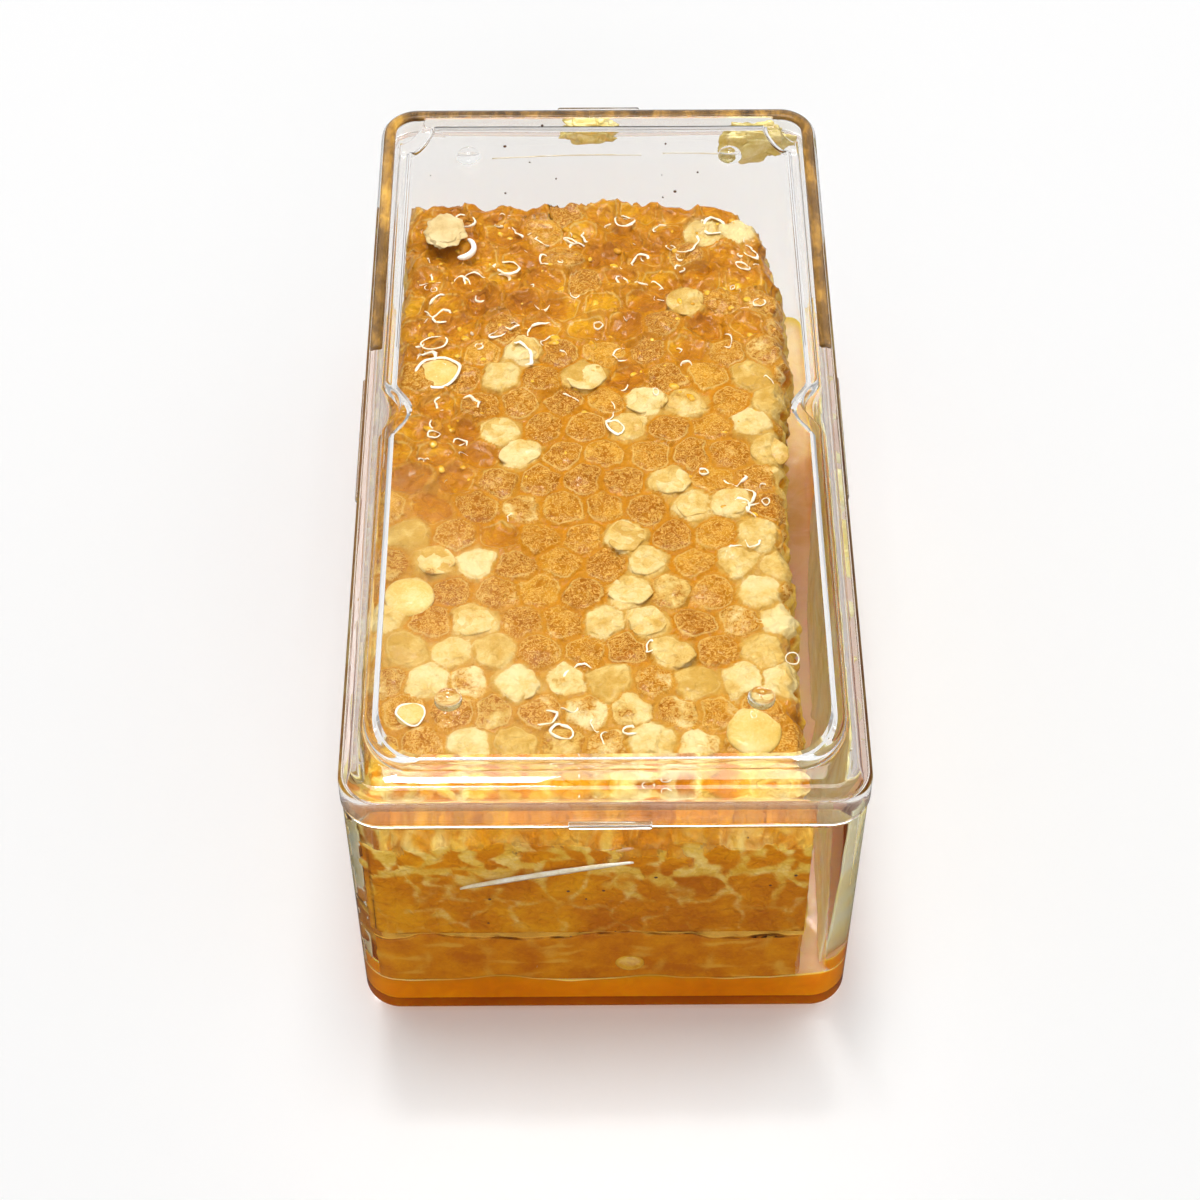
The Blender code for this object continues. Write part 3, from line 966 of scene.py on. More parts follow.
swell = noise_at(flat3, 9.0, 3)
fine = noise_at(flat3, 0.9, 4)
middling = noise_at(flat3, 2.1, 5)
region_wet = smooth_step(4.0, 30.0, flat[:, 1] + 12 * swell)
wet_left = 0.7 * smooth_step(-11, -19, flat[:, 0]) * smooth_step(-14, -6, flat[:, 1])
region_wet = np.maximum(region_wet, wet_left)
front_tear = smooth_step(-49.5, -52.5, flat[:, 1] + 2.5 * middling)

shown_gap = np.minimum(wall_gap, 2.80 - np.hypot(offset[:, 0], offset[:, 1]))
groove = np.exp(-((np.maximum(shown_gap, 0) / 0.32) ** 2))
capped = 0.12 + 0.18 * (1 - np.hypot(offset[:, 0], offset[:, 1]) / 3.0) - 0.30 * groove
melted = -0.45 + 0.55 * np.exp(-((wall_gap / 0.55) ** 2)) + 0.25 * middling
height_mm = np.where(is_open > 0.5, melted, capped) + lift + tilt
height_mm += 0.10 * fine + (0.12 + 0.55 * region_wet) * middling + 0.30 * swell
height_mm -= front_tear * (0.7 + 1.3 * smooth_step(0.3, 1.2, wall_gap) * (of_cells(number, "tone") > 0.35))

grid_i, grid_j = np.meshgrid(np.arange(ACROSS + 1), np.arange(ALONG + 1), indexing="ij")
steps_in = np.minimum(np.minimum(grid_i, ACROSS - grid_i), np.minimum(grid_j, ALONG - grid_j))
to_side = 0.35 * steps_in.reshape(-1)
rounding = -1.3 * (1 - smooth_step(0.0, 1.6, to_side)) ** 2
roll = -2.4 * smooth_step(-50.5, -58.5, flat[:, 1]) ** 1.6
top_z = (COMB_TOP - 0.10 + height_mm + rounding + roll).reshape(ACROSS + 1, ALONG + 1)
print(f"top of the comb from {top_z.min():.1f} to {top_z.max():.1f} mm")

# %% [markdown]
# ## The torn sides
#
# On a side the cells are seen lengthwise: rounded pockets of honey with a web of wax between them.
# The web is thick and pale near the top, where the lids were, and thins out downwards. Along the front's
# upper edge it is painted darker, as painted shade. It is drawn as a second lattice, and noise tears it.

# %% Sides of the upper comb
POCKET = (5.2, 5.0)


def web_of_wax(points, along, seed):
    """How much wax shows at each point of a side, from -1 for honey to 1 for wax."""
    depth = COMB_TOP - points[:, 2]
    share = np.clip(depth / (COMB_TOP - comb_low.z), 0, 1)
    depth = depth + 0.8 * np.maximum(0, -49 - points[:, 1])
    pockets = random.Random(seed)
    low, high = along.min() - 6, along.max() + 6
    middles = []
    for row in range(7):
        for column in range(int((high - low) / POCKET[0]) + 2):
            a = low + POCKET[0] * (column + 0.5 * (row % 2)) + pockets.uniform(-1.9, 1.9)
            middles.append((a, POCKET[1] * (row + 0.2) + pockets.uniform(-1.8, 1.8)))
    bent = np.column_stack(
        [
            along + 1.9 * noise_at(points, 3.6, seed) + 0.6 * noise_at(points, 1.1, seed + 1),
            depth * 0.8 + 1.1 * noise_at(points, 2.8, seed + 2),
        ]
    )
    _, _, gap = nearest_cells(bent, np.array(middles))
    thickness = 0.95 * (1 - share) ** 2.0 + 0.36 + 0.8 * noise_at(points, 3.6, seed + 3) * (1.1 - share)
    web = np.clip((thickness - gap) / 0.4, -1, 1)
    patches = noise_at(points * (1, 1, 0.8), 3.0, seed + 5) - 0.20 - 0.40 * share
    wax = np.maximum(web, np.clip(patches * 5, -1, 1))
    holes = noise_at(points, 2.0, seed + 4) - 0.22
    wax = np.minimum(wax, np.clip(1 - 7 * holes, -1, 1))
    faint = 0.48 * smooth_step(0.25, 0.8, share) + 0.25 * noise_at(points, 2.0, seed + 8)
    # Painted shade: fewer pale webs, and so a darker colour, along the top of the front face.
    painted_shade_front_top = smooth_step(6, 3, COMB_TOP - points[:, 2]) * smooth_step(-51, -55, points[:, 1])
    return (wax + 1) * (1 - np.clip(faint, 0, 1)) * (1 - 0.65 * painted_shade_front_top) - 1


def side_patch(corners, outward, seed, strength, pressed):
    """Rows of points down one side, below the edge of the top."""
    bottom = comb_low.z
    rows, waxes = [], []
    count = len(corners)
    fade_ends = smooth_step(0, 5, np.minimum(np.arange(count), count - 1 - np.arange(count)))
    along = corners[:, 0] if outward[1] else corners[:, 1]
    for step in range(1, DOWN + 1):
        share = step / DOWN
        points = corners.copy()
        points[:, 2] += (bottom - points[:, 2]) * share
        wax = web_of_wax(points, along, seed)
        out = strength * (0.5 * wax + 0.3 * noise_at(points, 1.1, seed + 6)) * fade_ends
        if pressed:
            hollow = smooth_step(0.10, 0.5, noise_at(points, 3.0, seed + 7))
            hollow = hollow * smooth_step(12, 4, COMB_TOP - points[:, 2])
            to_wall = np.array([tray_inside(33.0) - tray_inside(z) for z in points[:, 2]])
            out = PRESS + to_wall + 0.3 - 1.1 * hollow * fade_ends * (wax < 0.0)
        out = out * min(1.0, step / (1.5 if pressed else 3.0))
        points[:, 0] += outward[0] * out
        points[:, 1] += outward[1] * out
        for index in range(count):
            points[index, :2] = inside_tray(points[index, 0], points[index, 1], points[index, 2])
        rows.append(points)
        waxes.append(wax)
    return rows, waxes


points = []
values = {"wax": [], "open": [], "pale": [], "tone": [], "gap": [], "side": [], "wet": [], "gloss": []}


def add_points(block, wax, side, gloss, numbers=None, gaps=None, wet=None):
    start = len(points)
    points.extend(block.tolist())
    count = len(block)
    values["wax"].extend(wax)
    values["side"].extend(side)
    values["gloss"].extend([gloss] * count)
    values["wet"].extend(wet if wet is not None else [0.5] * count)
    for name in ("open", "pale", "tone"):
        values[name].extend(of_cells(numbers, name) if numbers is not None else [0.5] * count)
    values["gap"].extend(np.clip(gaps, 0, 2) if gaps is not None else [1.0] * count)
    return start


def top_index(i, j):
    return i * (ALONG + 1) + j


faces = []
top_points = np.column_stack([flat, top_z.reshape(-1)])
rolled = smooth_step(-49.5, -51.5, flat[:, 1] + 3.0 * middling)
add_points(top_points, web_of_wax(top_points, top_points[:, 0], 11), rolled, 1.0, number, shown_gap, region_wet)
for i in range(ACROSS):
    for j in range(ALONG):
        faces.append((top_index(i, j), top_index(i + 1, j), top_index(i + 1, j + 1), top_index(i, j + 1)))

SIDES = {
    "front": ([top_index(i, 0) for i in range(ACROSS + 1)], (0, -1), 11, 0.0, True),
    "right": ([top_index(ACROSS, j) for j in range(ALONG + 1)], (1, 0), 21, 0.9, False),
    "back": ([top_index(i, ALONG) for i in range(ACROSS, -1, -1)], (0, 1), 31, 0.9, False),
    "left": ([top_index(0, j) for j in range(ALONG, -1, -1)], (-1, 0), 41, 0.5, False),
}
for edge, outward, seed, strength, pressed in SIDES.values():
    rows, waxes = side_patch(top_points[edge], outward, seed, strength, pressed)
    above = edge
    for row_points, wax in zip(rows, waxes):
        start = add_points(row_points, wax, [1.0] * len(wax), 0.0 if pressed else 0.7)
        below = list(range(start, start + len(edge)))
        for index in range(len(edge) - 1):
            faces.append((above[index], below[index], below[index + 1], above[index + 1]))
        above = below

comb_mesh = mesh_from("comb_cells", points, faces)
for name, numbers in values.items():
    store(comb_mesh, name, numbers)
bm = bmesh.new()
bm.from_mesh(comb_mesh)
bmesh.ops.remove_doubles(bm, verts=bm.verts, dist=0.002 * MM)
rim = [edge for edge in bm.edges if edge.is_boundary]
bmesh.ops.contextual_create(bm, geom=rim)
bmesh.ops.recalc_face_normals(bm, faces=bm.faces)
bm.to_mesh(comb_mesh)
print("open edges left:", sum(edge.is_boundary for edge in bm.edges))
bm.free()
comb_mesh.shade_smooth()

# %% [markdown]
# ## Wax and honey in the comb
#
# One material covers the skin. It reads what the mesh stored: which cells are melted, how pale each
# lid of wax is, how near the next cell wall is, and where the web of wax shows on a side. Noise then
# breaks up every border, because wax tears unevenly and honey soaks in where it likes.

# %% Comb material
AMBER_DARK = (0.31, 0.095, 0.0)
AMBER = (0.42, 0.150, 0.0)
AMBER_LIGHT = (0.56, 0.27, 0.004)
TAN_DARK = (0.29, 0.092, 0.0)
TAN = (0.36, 0.132, 0.001)
TAN_LIGHT = (0.48, 0.22, 0.012)
CREAM_DARK = (0.47, 0.27, 0.045)
CREAM = (0.57, 0.38, 0.105)
CREAM_LIGHT = (0.66, 0.53, 0.25)


def broken(tree, value, noise_value, amount):
    """A stored value with noise added, so that its border wanders."""
    centred = add_math(tree, "SUBTRACT", noise_value, 0.5)
    return add_math(tree, "ADD", value, add_math(tree, "MULTIPLY", centred, amount))


comb_material, tree, shader = new_material("comb_wax_and_honey")
place = object_place(tree)
broad = place_group(tree, MOTTLE, place, Blotches=150.0, Grain=900.0)
close = place_group(tree, MOTTLE, place, Blotches=420.0, Grain=1300.0)
amber = add_ramp(tree, broad.outputs["Value"], [(0.38, AMBER_DARK), (0.5, AMBER), (0.62, AMBER_LIGHT)])
tone = broken(tree, close.outputs["Value"], read_value(tree, "tone"), 0.30)
tan = add_ramp(tree, tone, [(0.36, TAN_DARK), (0.52, TAN), (0.70, TAN_LIGHT)])
tan = add_mix(tree, add_math(tree, "MULTIPLY", close.outputs["Crumple"], 0.85), tan, (0.66, 0.40, 0.09, 1.0))
cream = add_ramp(tree, tone, [(0.34, CREAM_DARK), (0.48, CREAM), (0.68, CREAM_LIGHT)])
wall_gap_here = read_value(tree, "gap")
near_wall = add_range(tree, wall_gap_here, 0.05, 0.55, 0.45, 0.0)
pale_here = broken(tree, read_value(tree, "pale"), close.outputs["Value"], 1.3)
pale_here = add_math(tree, "SUBTRACT", pale_here, near_wall)
lids = add_mix(tree, add_range(tree, pale_here, 0.30, 0.62), tan, cream)
open_here = broken(tree, read_value(tree, "open"), broad.outputs["Value"], 1.6)
open_here = add_range(tree, open_here, 0.40, 0.62)
top_color = add_mix(tree, add_math(tree, "MULTIPLY", open_here, 0.9), lids, amber)
seam = add_range(tree, broken(tree, wall_gap_here, close.outputs["Value"], 0.9), 0.42, 0.12)
seam_color = add_mix(tree, read_value(tree, "pale"), (0.44, 0.165, 0.0, 1.0), (*CREAM_DARK, 1.0))
top_color = add_mix(tree, add_math(tree, "MULTIPLY", seam, 0.9), top_color, seam_color)
rim_here = add_math(
    tree, "MULTIPLY", add_range(tree, wall_gap_here, 0.26, 0.40), add_range(tree, wall_gap_here, 0.60, 0.44)
)
rim_here = add_math(tree, "MULTIPLY", rim_here, add_range(tree, broad.outputs["Value"], 0.44, 0.58, 0.0, 0.7))
top_color = add_mix(tree, rim_here, top_color, (*CREAM, 1.0))

wax_here = broken(tree, read_value(tree, "wax"), close.outputs["Value"], 1.1)
wax_here = add_range(tree, wax_here, -0.60, 0.80)
side_amber = add_ramp(
    tree,
    broad.outputs["Value"],
    [(0.36, (0.46, 0.135, 0.0)), (0.5, (0.58, 0.205, 0.0)), (0.64, (0.70, 0.31, 0.004))],
)
side_wax = add_ramp(
    tree, tone, [(0.34, (0.62, 0.33, 0.02)), (0.5, (0.72, 0.46, 0.07)), (0.68, (0.82, 0.62, 0.21))]
)
side_color = add_mix(tree, wax_here, side_amber, side_wax)
color = add_mix(tree, read_value(tree, "side"), top_color, side_color)
tree.links.new(color, shader.inputs["Base Color"])
wetness = add_math(tree, "MAXIMUM", open_here, read_value(tree, "wet"))
tree.links.new(add_range(tree, wetness, 0.0, 1.0, 0.6, 0.4), shader.inputs["Roughness"])
gloss = add_range(tree, wetness, 0.0, 1.0, 0.2, 0.5)
tree.links.new(add_math(tree, "MULTIPLY", gloss, read_value(tree, "gloss")), shader.inputs["Coat Weight"])
set_up(shader, Specular_IOR_Level=0.08, Coat_Roughness=0.03, Coat_IOR=1.45)
add_ripples(tree, shader, 900.0, 0.0006)
comb = to_object("comb_cells", comb_mesh, comb_material)
finish_piece(comb, "comb_wax", "comb_upper")

# %% [markdown]
# ## The midrib and the lower cells
#
# A comb has two layers of cells, back to back on one thin sheet of wax. At the cut sides the sheet
# shows as a wavy pale line, and the lower cells stand in the honey. Only their sides can be seen, so
# each is a band of rings round the piece's outline, closed above and below.


# %% Bands round the outline
def outline_points(inset, z):
    """The comb's outline at a height, anticlockwise from its front left corner."""
    ring = []
    right_front, right_back = right_edge(FRONT), right_edge(BACK)
    ring += [(x, front_edge(x)) for x in np.arange(LEFT, right_front - inset, STEP)]
    ring += [(right_edge(y) - inset, y) for y in np.arange(FRONT + 0.5, back_edge(22.0), STEP)]
    ring += [(x, back_edge(x) - inset) for x in np.arange(right_back - inset - 1.0, LEFT + 2.5, -STEP)]
    ring += [(left_edge(y) + inset, y) for y in np.arange(BACK - 2.0, FRONT + 1.0, -STEP)]
    return np.array([inside_tray(x, y, z) for x, y in ring])


def band(name, inset, levels, bottom, top, shape, material):
    """Rings from bottom to top round the outline. shape gives (outwards, upwards, wax) for points."""
    points, waxes = [], []
    for level in range(levels + 1):
        share = level / levels
        height = bottom + (top - bottom) * share
        ring = outline_points(inset, height)
        line = np.roll(ring, -3, axis=0) - np.roll(ring, 3, axis=0)
        outward = np.column_stack([line[:, 1], -line[:, 0]]) / np.hypot(line[:, 0], line[:, 1])[:, None]
        block = np.column_stack([ring, np.full(len(ring), height)])
        out, up, wax = shape(block, share)
        block[:, :2] += outward * out[:, None]
        block[:, 2] += up
        for index in range(len(block)):
            block[index, :2] = inside_tray(*block[index])
        points.append(block)
        waxes.append(wax)
    mesh = mesh_from(name, np.concatenate(points), capped_faces(levels + 1, len(ring)))
    turn_outwards(mesh)
    mesh.shade_smooth()
    store(mesh, "wax", np.concatenate(waxes))
    return to_object(name, mesh, material)


def midrib_wave(block):
    return 1.3 * noise_at(block * (1, 1, 0), 5.5, 61) + 0.7 * noise_at(block * (1, 1, 0), 2.1, 62)


def midrib_shape(block, share):
    """A thin sheet that waves up and down, with a rounded edge that stands a little proud."""
    edge = 0.35 * math.sin(math.pi * share) + 0.1 * noise_at(block, 1.5, 63)
    thinner = 0.5 - share
    return edge, midrib_wave(block) + 0.35 * thinner, np.full(len(block), 0.8)


def lower_shape(block, share):
    """Short cells, mostly sunk in honey, so their walls are faint."""
    walls = noise_at(block * (1, 1, 0.5), 2.4, 71)
    wisps = noise_at(block * (0.5, 0.5, 2.0), 2.2, 72)
    wax = np.clip(1.8 * np.maximum(walls, wisps) - 0.5, -1, 1)
    return 0.25 + 0.2 * wax + 0.2 * noise_at(block, 1.2, 73), midrib_wave(block) * share, wax


def wax_in_honey(name, deep, wax_color, strength):
    """Wax that is seen through honey: pale where the mesh says wax, amber between."""
    material, tree, shader = new_material(name)
    close = place_group(tree, MOTTLE, object_place(tree), Blotches=300.0, Grain=1300.0)
    amber = add_ramp(tree, close.outputs["Value"], deep)
    wax = broken(tree, read_value(tree, "wax"), close.outputs["Value"], 1.0)
    wax = add_range(tree, wax, -0.1, 0.6, 0.0, strength)
    tree.links.new(add_mix(tree, wax, amber, (*wax_color, 1.0)), shader.inputs["Base Color"])
    wet_finish(shader, 0.5, 0.1)
    shader.inputs["Specular IOR Level"].default_value = 0.05
    add_ripples(tree, shader, 700.0, 0.0002)
    return material


deep_amber = [(0.36, (0.46, 0.135, 0.0)), (0.5, (0.56, 0.19, 0.0)), (0.66, (0.66, 0.27, 0.003))]
lower_material = wax_in_honey("lower_cells_in_honey", deep_amber, (0.72, 0.42, 0.05), 0.6)
midrib_material = wax_in_honey("midrib_wax", deep_amber, (0.80, 0.50, 0.08), 0.9)
midrib = band("midrib_sheet", 0.15, 6, midrib_low.z + 0.25, midrib_high.z - 0.1, midrib_shape, midrib_material)
finish_piece(midrib, "midrib_wax", "comb_midrib")
lower = band("lower_cells", 0.5, 24, lower_low.z - 0.6, lower_high.z + 0.3, lower_shape, lower_material)
finish_piece(lower, "comb_wax", "comb_lower")

# %% [markdown]
# ## Forms on points
#
# Drops, bubbles and the painted glints on the honey's rims are each one small form that comes again in
# many places. Geometry Nodes place the form on points, turned and scaled by what each point stores,
# and then push the result out of shape by noise, so that no two are alike.


# %% A tree that places forms on points
def geometry_tree(name, inputs):
    tree = bpy.data.node_groups.new(name, "GeometryNodeTree")
    tree.interface.new_socket("Geometry", in_out="INPUT", socket_type="NodeSocketGeometry")
    for socket, kind, default in inputs:
        made = tree.interface.new_socket(socket, in_out="INPUT", socket_type=kind)
        if default is not None:
            made.default_value = default
    tree.interface.new_socket("Geometry", in_out="OUTPUT", socket_type="NodeSocketGeometry")
    return tree, add(tree, "NodeGroupInput"), add(tree, "NodeGroupOutput")


def field_of(tree, name):
    return add(tree, "GeometryNodeInputNamedAttribute", {"Name": name}, data_type="FLOAT").outputs["Attribute"]


def make_placing_tree():
    tree, given, result = geometry_tree(
        "forms on points",
        [
            ("Form", "NodeSocketObject", None),
            ("Unevenness", "NodeSocketFloat", 0.0004),
            ("Unevenness Scale", "NodeSocketFloat", 400.0),
            ("Fineness", "NodeSocketInt", 1),
            ("Material", "NodeSocketMaterial", None),
        ],
    )
    form = add(tree, "GeometryNodeObjectInfo")
    tree.links.new(given.outputs["Form"], form.inputs["Object"])
    angles = add(tree, "ShaderNodeCombineXYZ")
    sizes = add(tree, "ShaderNodeCombineXYZ")
    for socket, angle, size in zip("XYZ", ("lean", "slant", "turn"), ("wide", "long", "thick")):
        tree.links.new(field_of(tree, angle), angles.inputs[socket])
        tree.links.new(field_of(tree, size), sizes.inputs[socket])
    placing = add(tree, "GeometryNodeInstanceOnPoints")
    tree.links.new(given.outputs["Geometry"], placing.inputs["Points"])
    tree.links.new(form.outputs["Geometry"], placing.inputs["Instance"])
    tree.links.new(angles.outputs[0], placing.inputs["Rotation"])
    tree.links.new(sizes.outputs[0], placing.inputs["Scale"])
    real = add(tree, "GeometryNodeRealizeInstances")
    tree.links.new(placing.outputs["Instances"], real.inputs["Geometry"])
    finer = add(tree, "GeometryNodeSubdivisionSurface")
    tree.links.new(real.outputs["Geometry"], finer.inputs["Mesh"])
    tree.links.new(given.outputs["Fineness"], finer.inputs["Level"])
    wobble = add(tree, "ShaderNodeTexNoise", {"Detail": 1.0})
    tree.links.new(add(tree, "GeometryNodeInputPosition").outputs["Position"], wobble.inputs["Vector"])
    tree.links.new(given.outputs["Unevenness Scale"], wobble.inputs["Scale"])
    centred = add(tree, "ShaderNodeVectorMath", operation="SUBTRACT")
    centred.inputs[1].default_value = (0.5, 0.5, 0.5)
    tree.links.new(wobble.outputs["Color"], centred.inputs[0])
    scaled = add(tree, "ShaderNodeVectorMath", operation="SCALE")
    tree.links.new(centred.outputs[0], scaled.inputs[0])
    tree.links.new(given.outputs["Unevenness"], scaled.inputs["Scale"])
    moved = add(tree, "GeometryNodeSetPosition")
    tree.links.new(finer.outputs["Mesh"], moved.inputs["Geometry"])
    tree.links.new(scaled.outputs[0], moved.inputs["Offset"])
    smooth = add(tree, "GeometryNodeSetShadeSmooth")
    tree.links.new(moved.outputs["Geometry"], smooth.inputs["Geometry"])
    material = add(tree, "GeometryNodeSetMaterial")
    tree.links.new(smooth.outputs["Geometry"], material.inputs["Geometry"])
    tree.links.new(given.outputs["Material"], material.inputs["Material"])
    tree.links.new(material.outputs["Geometry"], result.inputs["Geometry"])
    return tree


PLACING = make_placing_tree()
FIELDS = ("lean", "slant", "turn", "wide", "long", "thick", "tone")


def placed_forms(name, rows, form_mesh, material, unevenness, scale, fineness=1):
    """Runs the placing tree over rows of points and returns the result as one plain piece."""
    cloud_mesh = bpy.data.meshes.new(name + "_points")
    cloud_mesh.from_pydata([tuple(v * MM for v in row["at"]) for row in rows], [], [])
    for field in FIELDS:
        store(cloud_mesh, field, [row[field] for row in rows])
    cloud = to_object(name + "_points", cloud_mesh, None)
    form = to_object(name + "_form", form_mesh, None)
    modifier = cloud.modifiers.new("forms", "NODES")
    modifier.node_group = PLACING
    sockets = {item.name: item.identifier for item in PLACING.interface.items_tree if item.in_out == "INPUT"}
    modifier[sockets["Form"]] = form
    modifier[sockets["Unevenness"]] = unevenness * MM
    modifier[sockets["Unevenness Scale"]] = scale
    modifier[sockets["Fineness"]] = fineness
    modifier[sockets["Material"]] = material
    mesh = baked(cloud, name)
    bpy.data.objects.remove(form, do_unlink=True)
    return to_object(name, mesh, material)


def a_row(at, lean=0.0, slant=0.0, turn=0.0, wide=1.0, long=1.0, thick=1.0):
    return {
        "at": at, "lean": lean, "slant": slant, "turn": turn,
        "wide": wide, "long": long, "thick": thick, "tone": chance.random(),
    }


def top_at(x, y):
    """Height of the comb's skin under a place."""
    near = np.hypot(flat[:, 0] - x, flat[:, 1] - y) < 0.7
    if not near.any():
        return COMB_TOP - 1.0
    return float(np.mean(top_z.reshape(-1)[near]))


print("the placing tree has", len(PLACING.nodes), "nodes")

# %% [markdown]
# ## Painted glints on the rims of honey
#
# Where drops and bubbles lie on the wet comb, their rims catch the light as bright loops and hooks.
# These glints are painted highlights: a rim is a thin bent tube of near-white wet material, sunk
# halfway into the comb, that looks bright under any light. There are whole loops and open hooks,
# most of them on the torn back third and along the left.


# %% Painted glint rims, drops and bubbles
def bent_tube(turns, sides=5, radius=0.14, steps=14, size=1.0):
    """A thin tube along an arc of a circle; turns is 1 for a whole loop."""
    closed = turns >= 1.0
    count = steps if closed else steps + 1
    points, faces = [], []
    for step in range(count):
        angle = 2 * math.pi * turns * step / steps
        taper = 1.0 if closed else 0.25 + 0.75 * math.sin(math.pi * step / steps) ** 0.5
        for side in range(sides):
            around = 2 * math.pi * side / sides
            reach = size + radius * taper * math.cos(around)
            points.append((reach * math.cos(angle), reach * math.sin(angle), radius * taper * math.sin(around)))
    for step in range(count if closed else count - 1):
        after = (step + 1) % count
        for side in range(sides):
            other = (side + 1) % sides
            faces.append((step * sides + side, after * sides + side, after * sides + other, step * sides + other))
    if not closed:
        faces.append(tuple(range(sides)))
        faces.append(tuple(reversed(range((count - 1) * sides, count * sides))))
    mesh = mesh_from("bent_tube", points, faces)
    turn_outwards(mesh)
    return mesh


# Painted highlight: a near-white colour with a wet coat makes the rims bright whatever the light.
glint_paint_material, tree, shader = new_material("painted_glint_rims")
shader.inputs["Base Color"].default_value = (1.0, 0.92, 0.72, 1.0)
wet_finish(shader, 0.12, 1.0)


def wet_places(count):
    """Random places on the comb, most of them where it is wet."""
    places = []
    while len(places) < count:
        x, y = chance.uniform(-24, 21.5), chance.uniform(-50, 42)
        back = float(smooth_step(-2, 26, y))
        left = float(smooth_step(-10, -18, x) * smooth_step(-12, -4, y))
        right = 0.5 * float(smooth_step(12, 18, x) * smooth_step(-30, -10, y))
        if chance.random() < max(0.05, 0.8 * back, left, right):
            places.append((x, y))
    return places


loops, hooks = [], []
FRONT_GLINTS = [
    (-7, -44), (-4, -43), (-5, -46), (-1, -45), (0, -47), (3, -46),
    (-2, -52), (2, -53), (5, -53), (7, -52), (9, -53),
]
for index, (x, y) in enumerate(wet_places(115) + FRONT_GLINTS):
    size = chance.choice((0.35, 0.5, 0.7, 1.0, 1.3)) * chance.uniform(0.8, 1.2)
    row = a_row(
        (x, y, top_at(x, y) + 0.10), chance.gauss(0, 0.1), chance.gauss(0, 0.1), chance.uniform(0, 6.28),
        size * chance.uniform(0.7, 1.5), size * chance.uniform(0.6, 1.0), 1.0,
    )
    (loops if index % 3 == 0 else hooks).append(row)
rims = placed_forms("honey_rims", loops, bent_tube(1.0), glint_paint_material, 1.4, 620.0, 0)
finish_piece(rims, "honey")
hooked = placed_forms("honey_hooks", hooks, bent_tube(0.55), glint_paint_material, 1.8, 560.0, 0)
finish_piece(hooked, "honey")


def ball(name, subdivisions=2):
    bm = bmesh.new()
    bmesh.ops.create_icosphere(bm, subdivisions=subdivisions, radius=MM)
    mesh = bpy.data.meshes.new(name)
    bm.to_mesh(mesh)
    bm.free()
    return mesh


DROP_STOPS = [(0.4, (0.56, 0.25, 0.004)), (0.6, (0.76, 0.48, 0.04))]
drop_material = mottled("drops_of_honey", (500.0, 1500.0), DROP_STOPS, (0.06, 0.8))
rows = []
for x, y in wet_places(130):
    size = chance.choice((0.25, 0.35, 0.5, 0.8))
    rows.append(
        a_row(
            (x, y, top_at(x, y) - 0.05), 0.0, 0.0, chance.uniform(0, 6.28),
            size * chance.uniform(0.8, 1.5), size * chance.uniform(0.7, 1.0), size * 0.5,
        )
    )
drops = placed_forms("honey_drops", rows, ball("drop_form", 1), drop_material, 0.35, 900.0, 1)
finish_piece(drops, "honey")

# %% [markdown]
# ## Domed and thick lids
#
# A few cells stand out: round domes of yellow wax, some with a bright ring that is a painted highlight,
# and thick lids of pale wax that lie a little above the others. Both are one form that comes again, so
# they are placed like the drops.


# %% Thick lids and domes
def thick_lid_form():
    """A flat six-sided plate with soft torn edges, about one cell wide."""
    shares = (0.5, 0.82, 0.93, 0.97)
    rises = (0.20, 0.16, 0.06, -0.12)
    segments = 18
    points = [(0, 0, 0.22), (0, 0, -0.6)]
    faces = []
    for share, rise in zip(shares + (0.94,), rises + (-0.6,)):
        for index in range(segments):
            turn = 2 * math.pi * index / segments
            side = ((turn + math.pi / 6) % (math.pi / 3)) - math.pi / 6
            hexagon = math.cos(math.pi / 6) / math.cos(side)
            radius = share * (0.25 + 0.75 * hexagon) * CELL_PITCH / math.sqrt(3)
            points.append((radius * math.sin(turn), radius * math.cos(turn), rise))
    for index in range(segments):
        after = (index + 1) % segments
        faces.append((0, 2 + after, 2 + index))
        for ring in range(4):
            base = 2 + ring * segments
            faces.append((base + index, base + after, base + segments + after, base + segments + index))
        last = 2 + 4 * segments
        faces.append((1, last + index, last + after))
    mesh = mesh_from("thick_lid_form", points, faces)
    turn_outwards(mesh)
    return mesh


pale_material, tree, shader = new_material("pale_wax_lids")
close = place_group(tree, MOTTLE, object_place(tree), Blotches=420.0, Grain=1900.0)
tone = broken(tree, close.outputs["Value"], read_value(tree, "tone"), 0.2)
pale_color = add_ramp(tree, tone, [(0.36, CREAM_DARK), (0.48, CREAM), (0.66, CREAM_LIGHT)])
pits = add_range(tree, close.outputs["Value"], 0.40, 0.33, 0.0, 0.6)
pale_color = add_mix(tree, pits, pale_color, (*TAN_DARK, 1.0))
tree.links.new(pale_color, shader.inputs["Base Color"])
wet_finish(shader, 0.5, 0.35)
shader.inputs["Specular IOR Level"].default_value = 0.1
add_ripples(tree, shader, 1100.0, 0.0002)

THICK_PLACES = [
    (-2, 12), (-10, 17), (11, 27), (5, 7), (10, 6), (-13, 2), (3, 2), (-11, -2), (20, 0), (8, -8),
    (11, -12), (16, -12), (3, -18), (-20, -22), (6, -22), (3, -27), (-15, -31), (5, -31), (9, -34), (-9, -40),
]
rows = []
for x, y in THICK_PLACES:
    near = min(cells, key=lambda cell: math.hypot(cell["x"] - x, cell["y"] - y))
    size = chance.uniform(0.84, 0.98)
    rows.append(
        a_row(
            (near["x"], near["y"], top_at(near["x"], near["y"]) - 0.12),
            chance.gauss(0, 0.04), chance.gauss(0, 0.04), chance.gauss(0, 0.1),
            size * chance.uniform(0.92, 1.06), size * chance.uniform(0.86, 1.02), chance.uniform(0.45, 0.65),
        )
    )
thick_lids = placed_forms("thick_lids", rows, thick_lid_form(), pale_material, 1.3, 480.0)
finish_piece(thick_lids, "comb_wax")

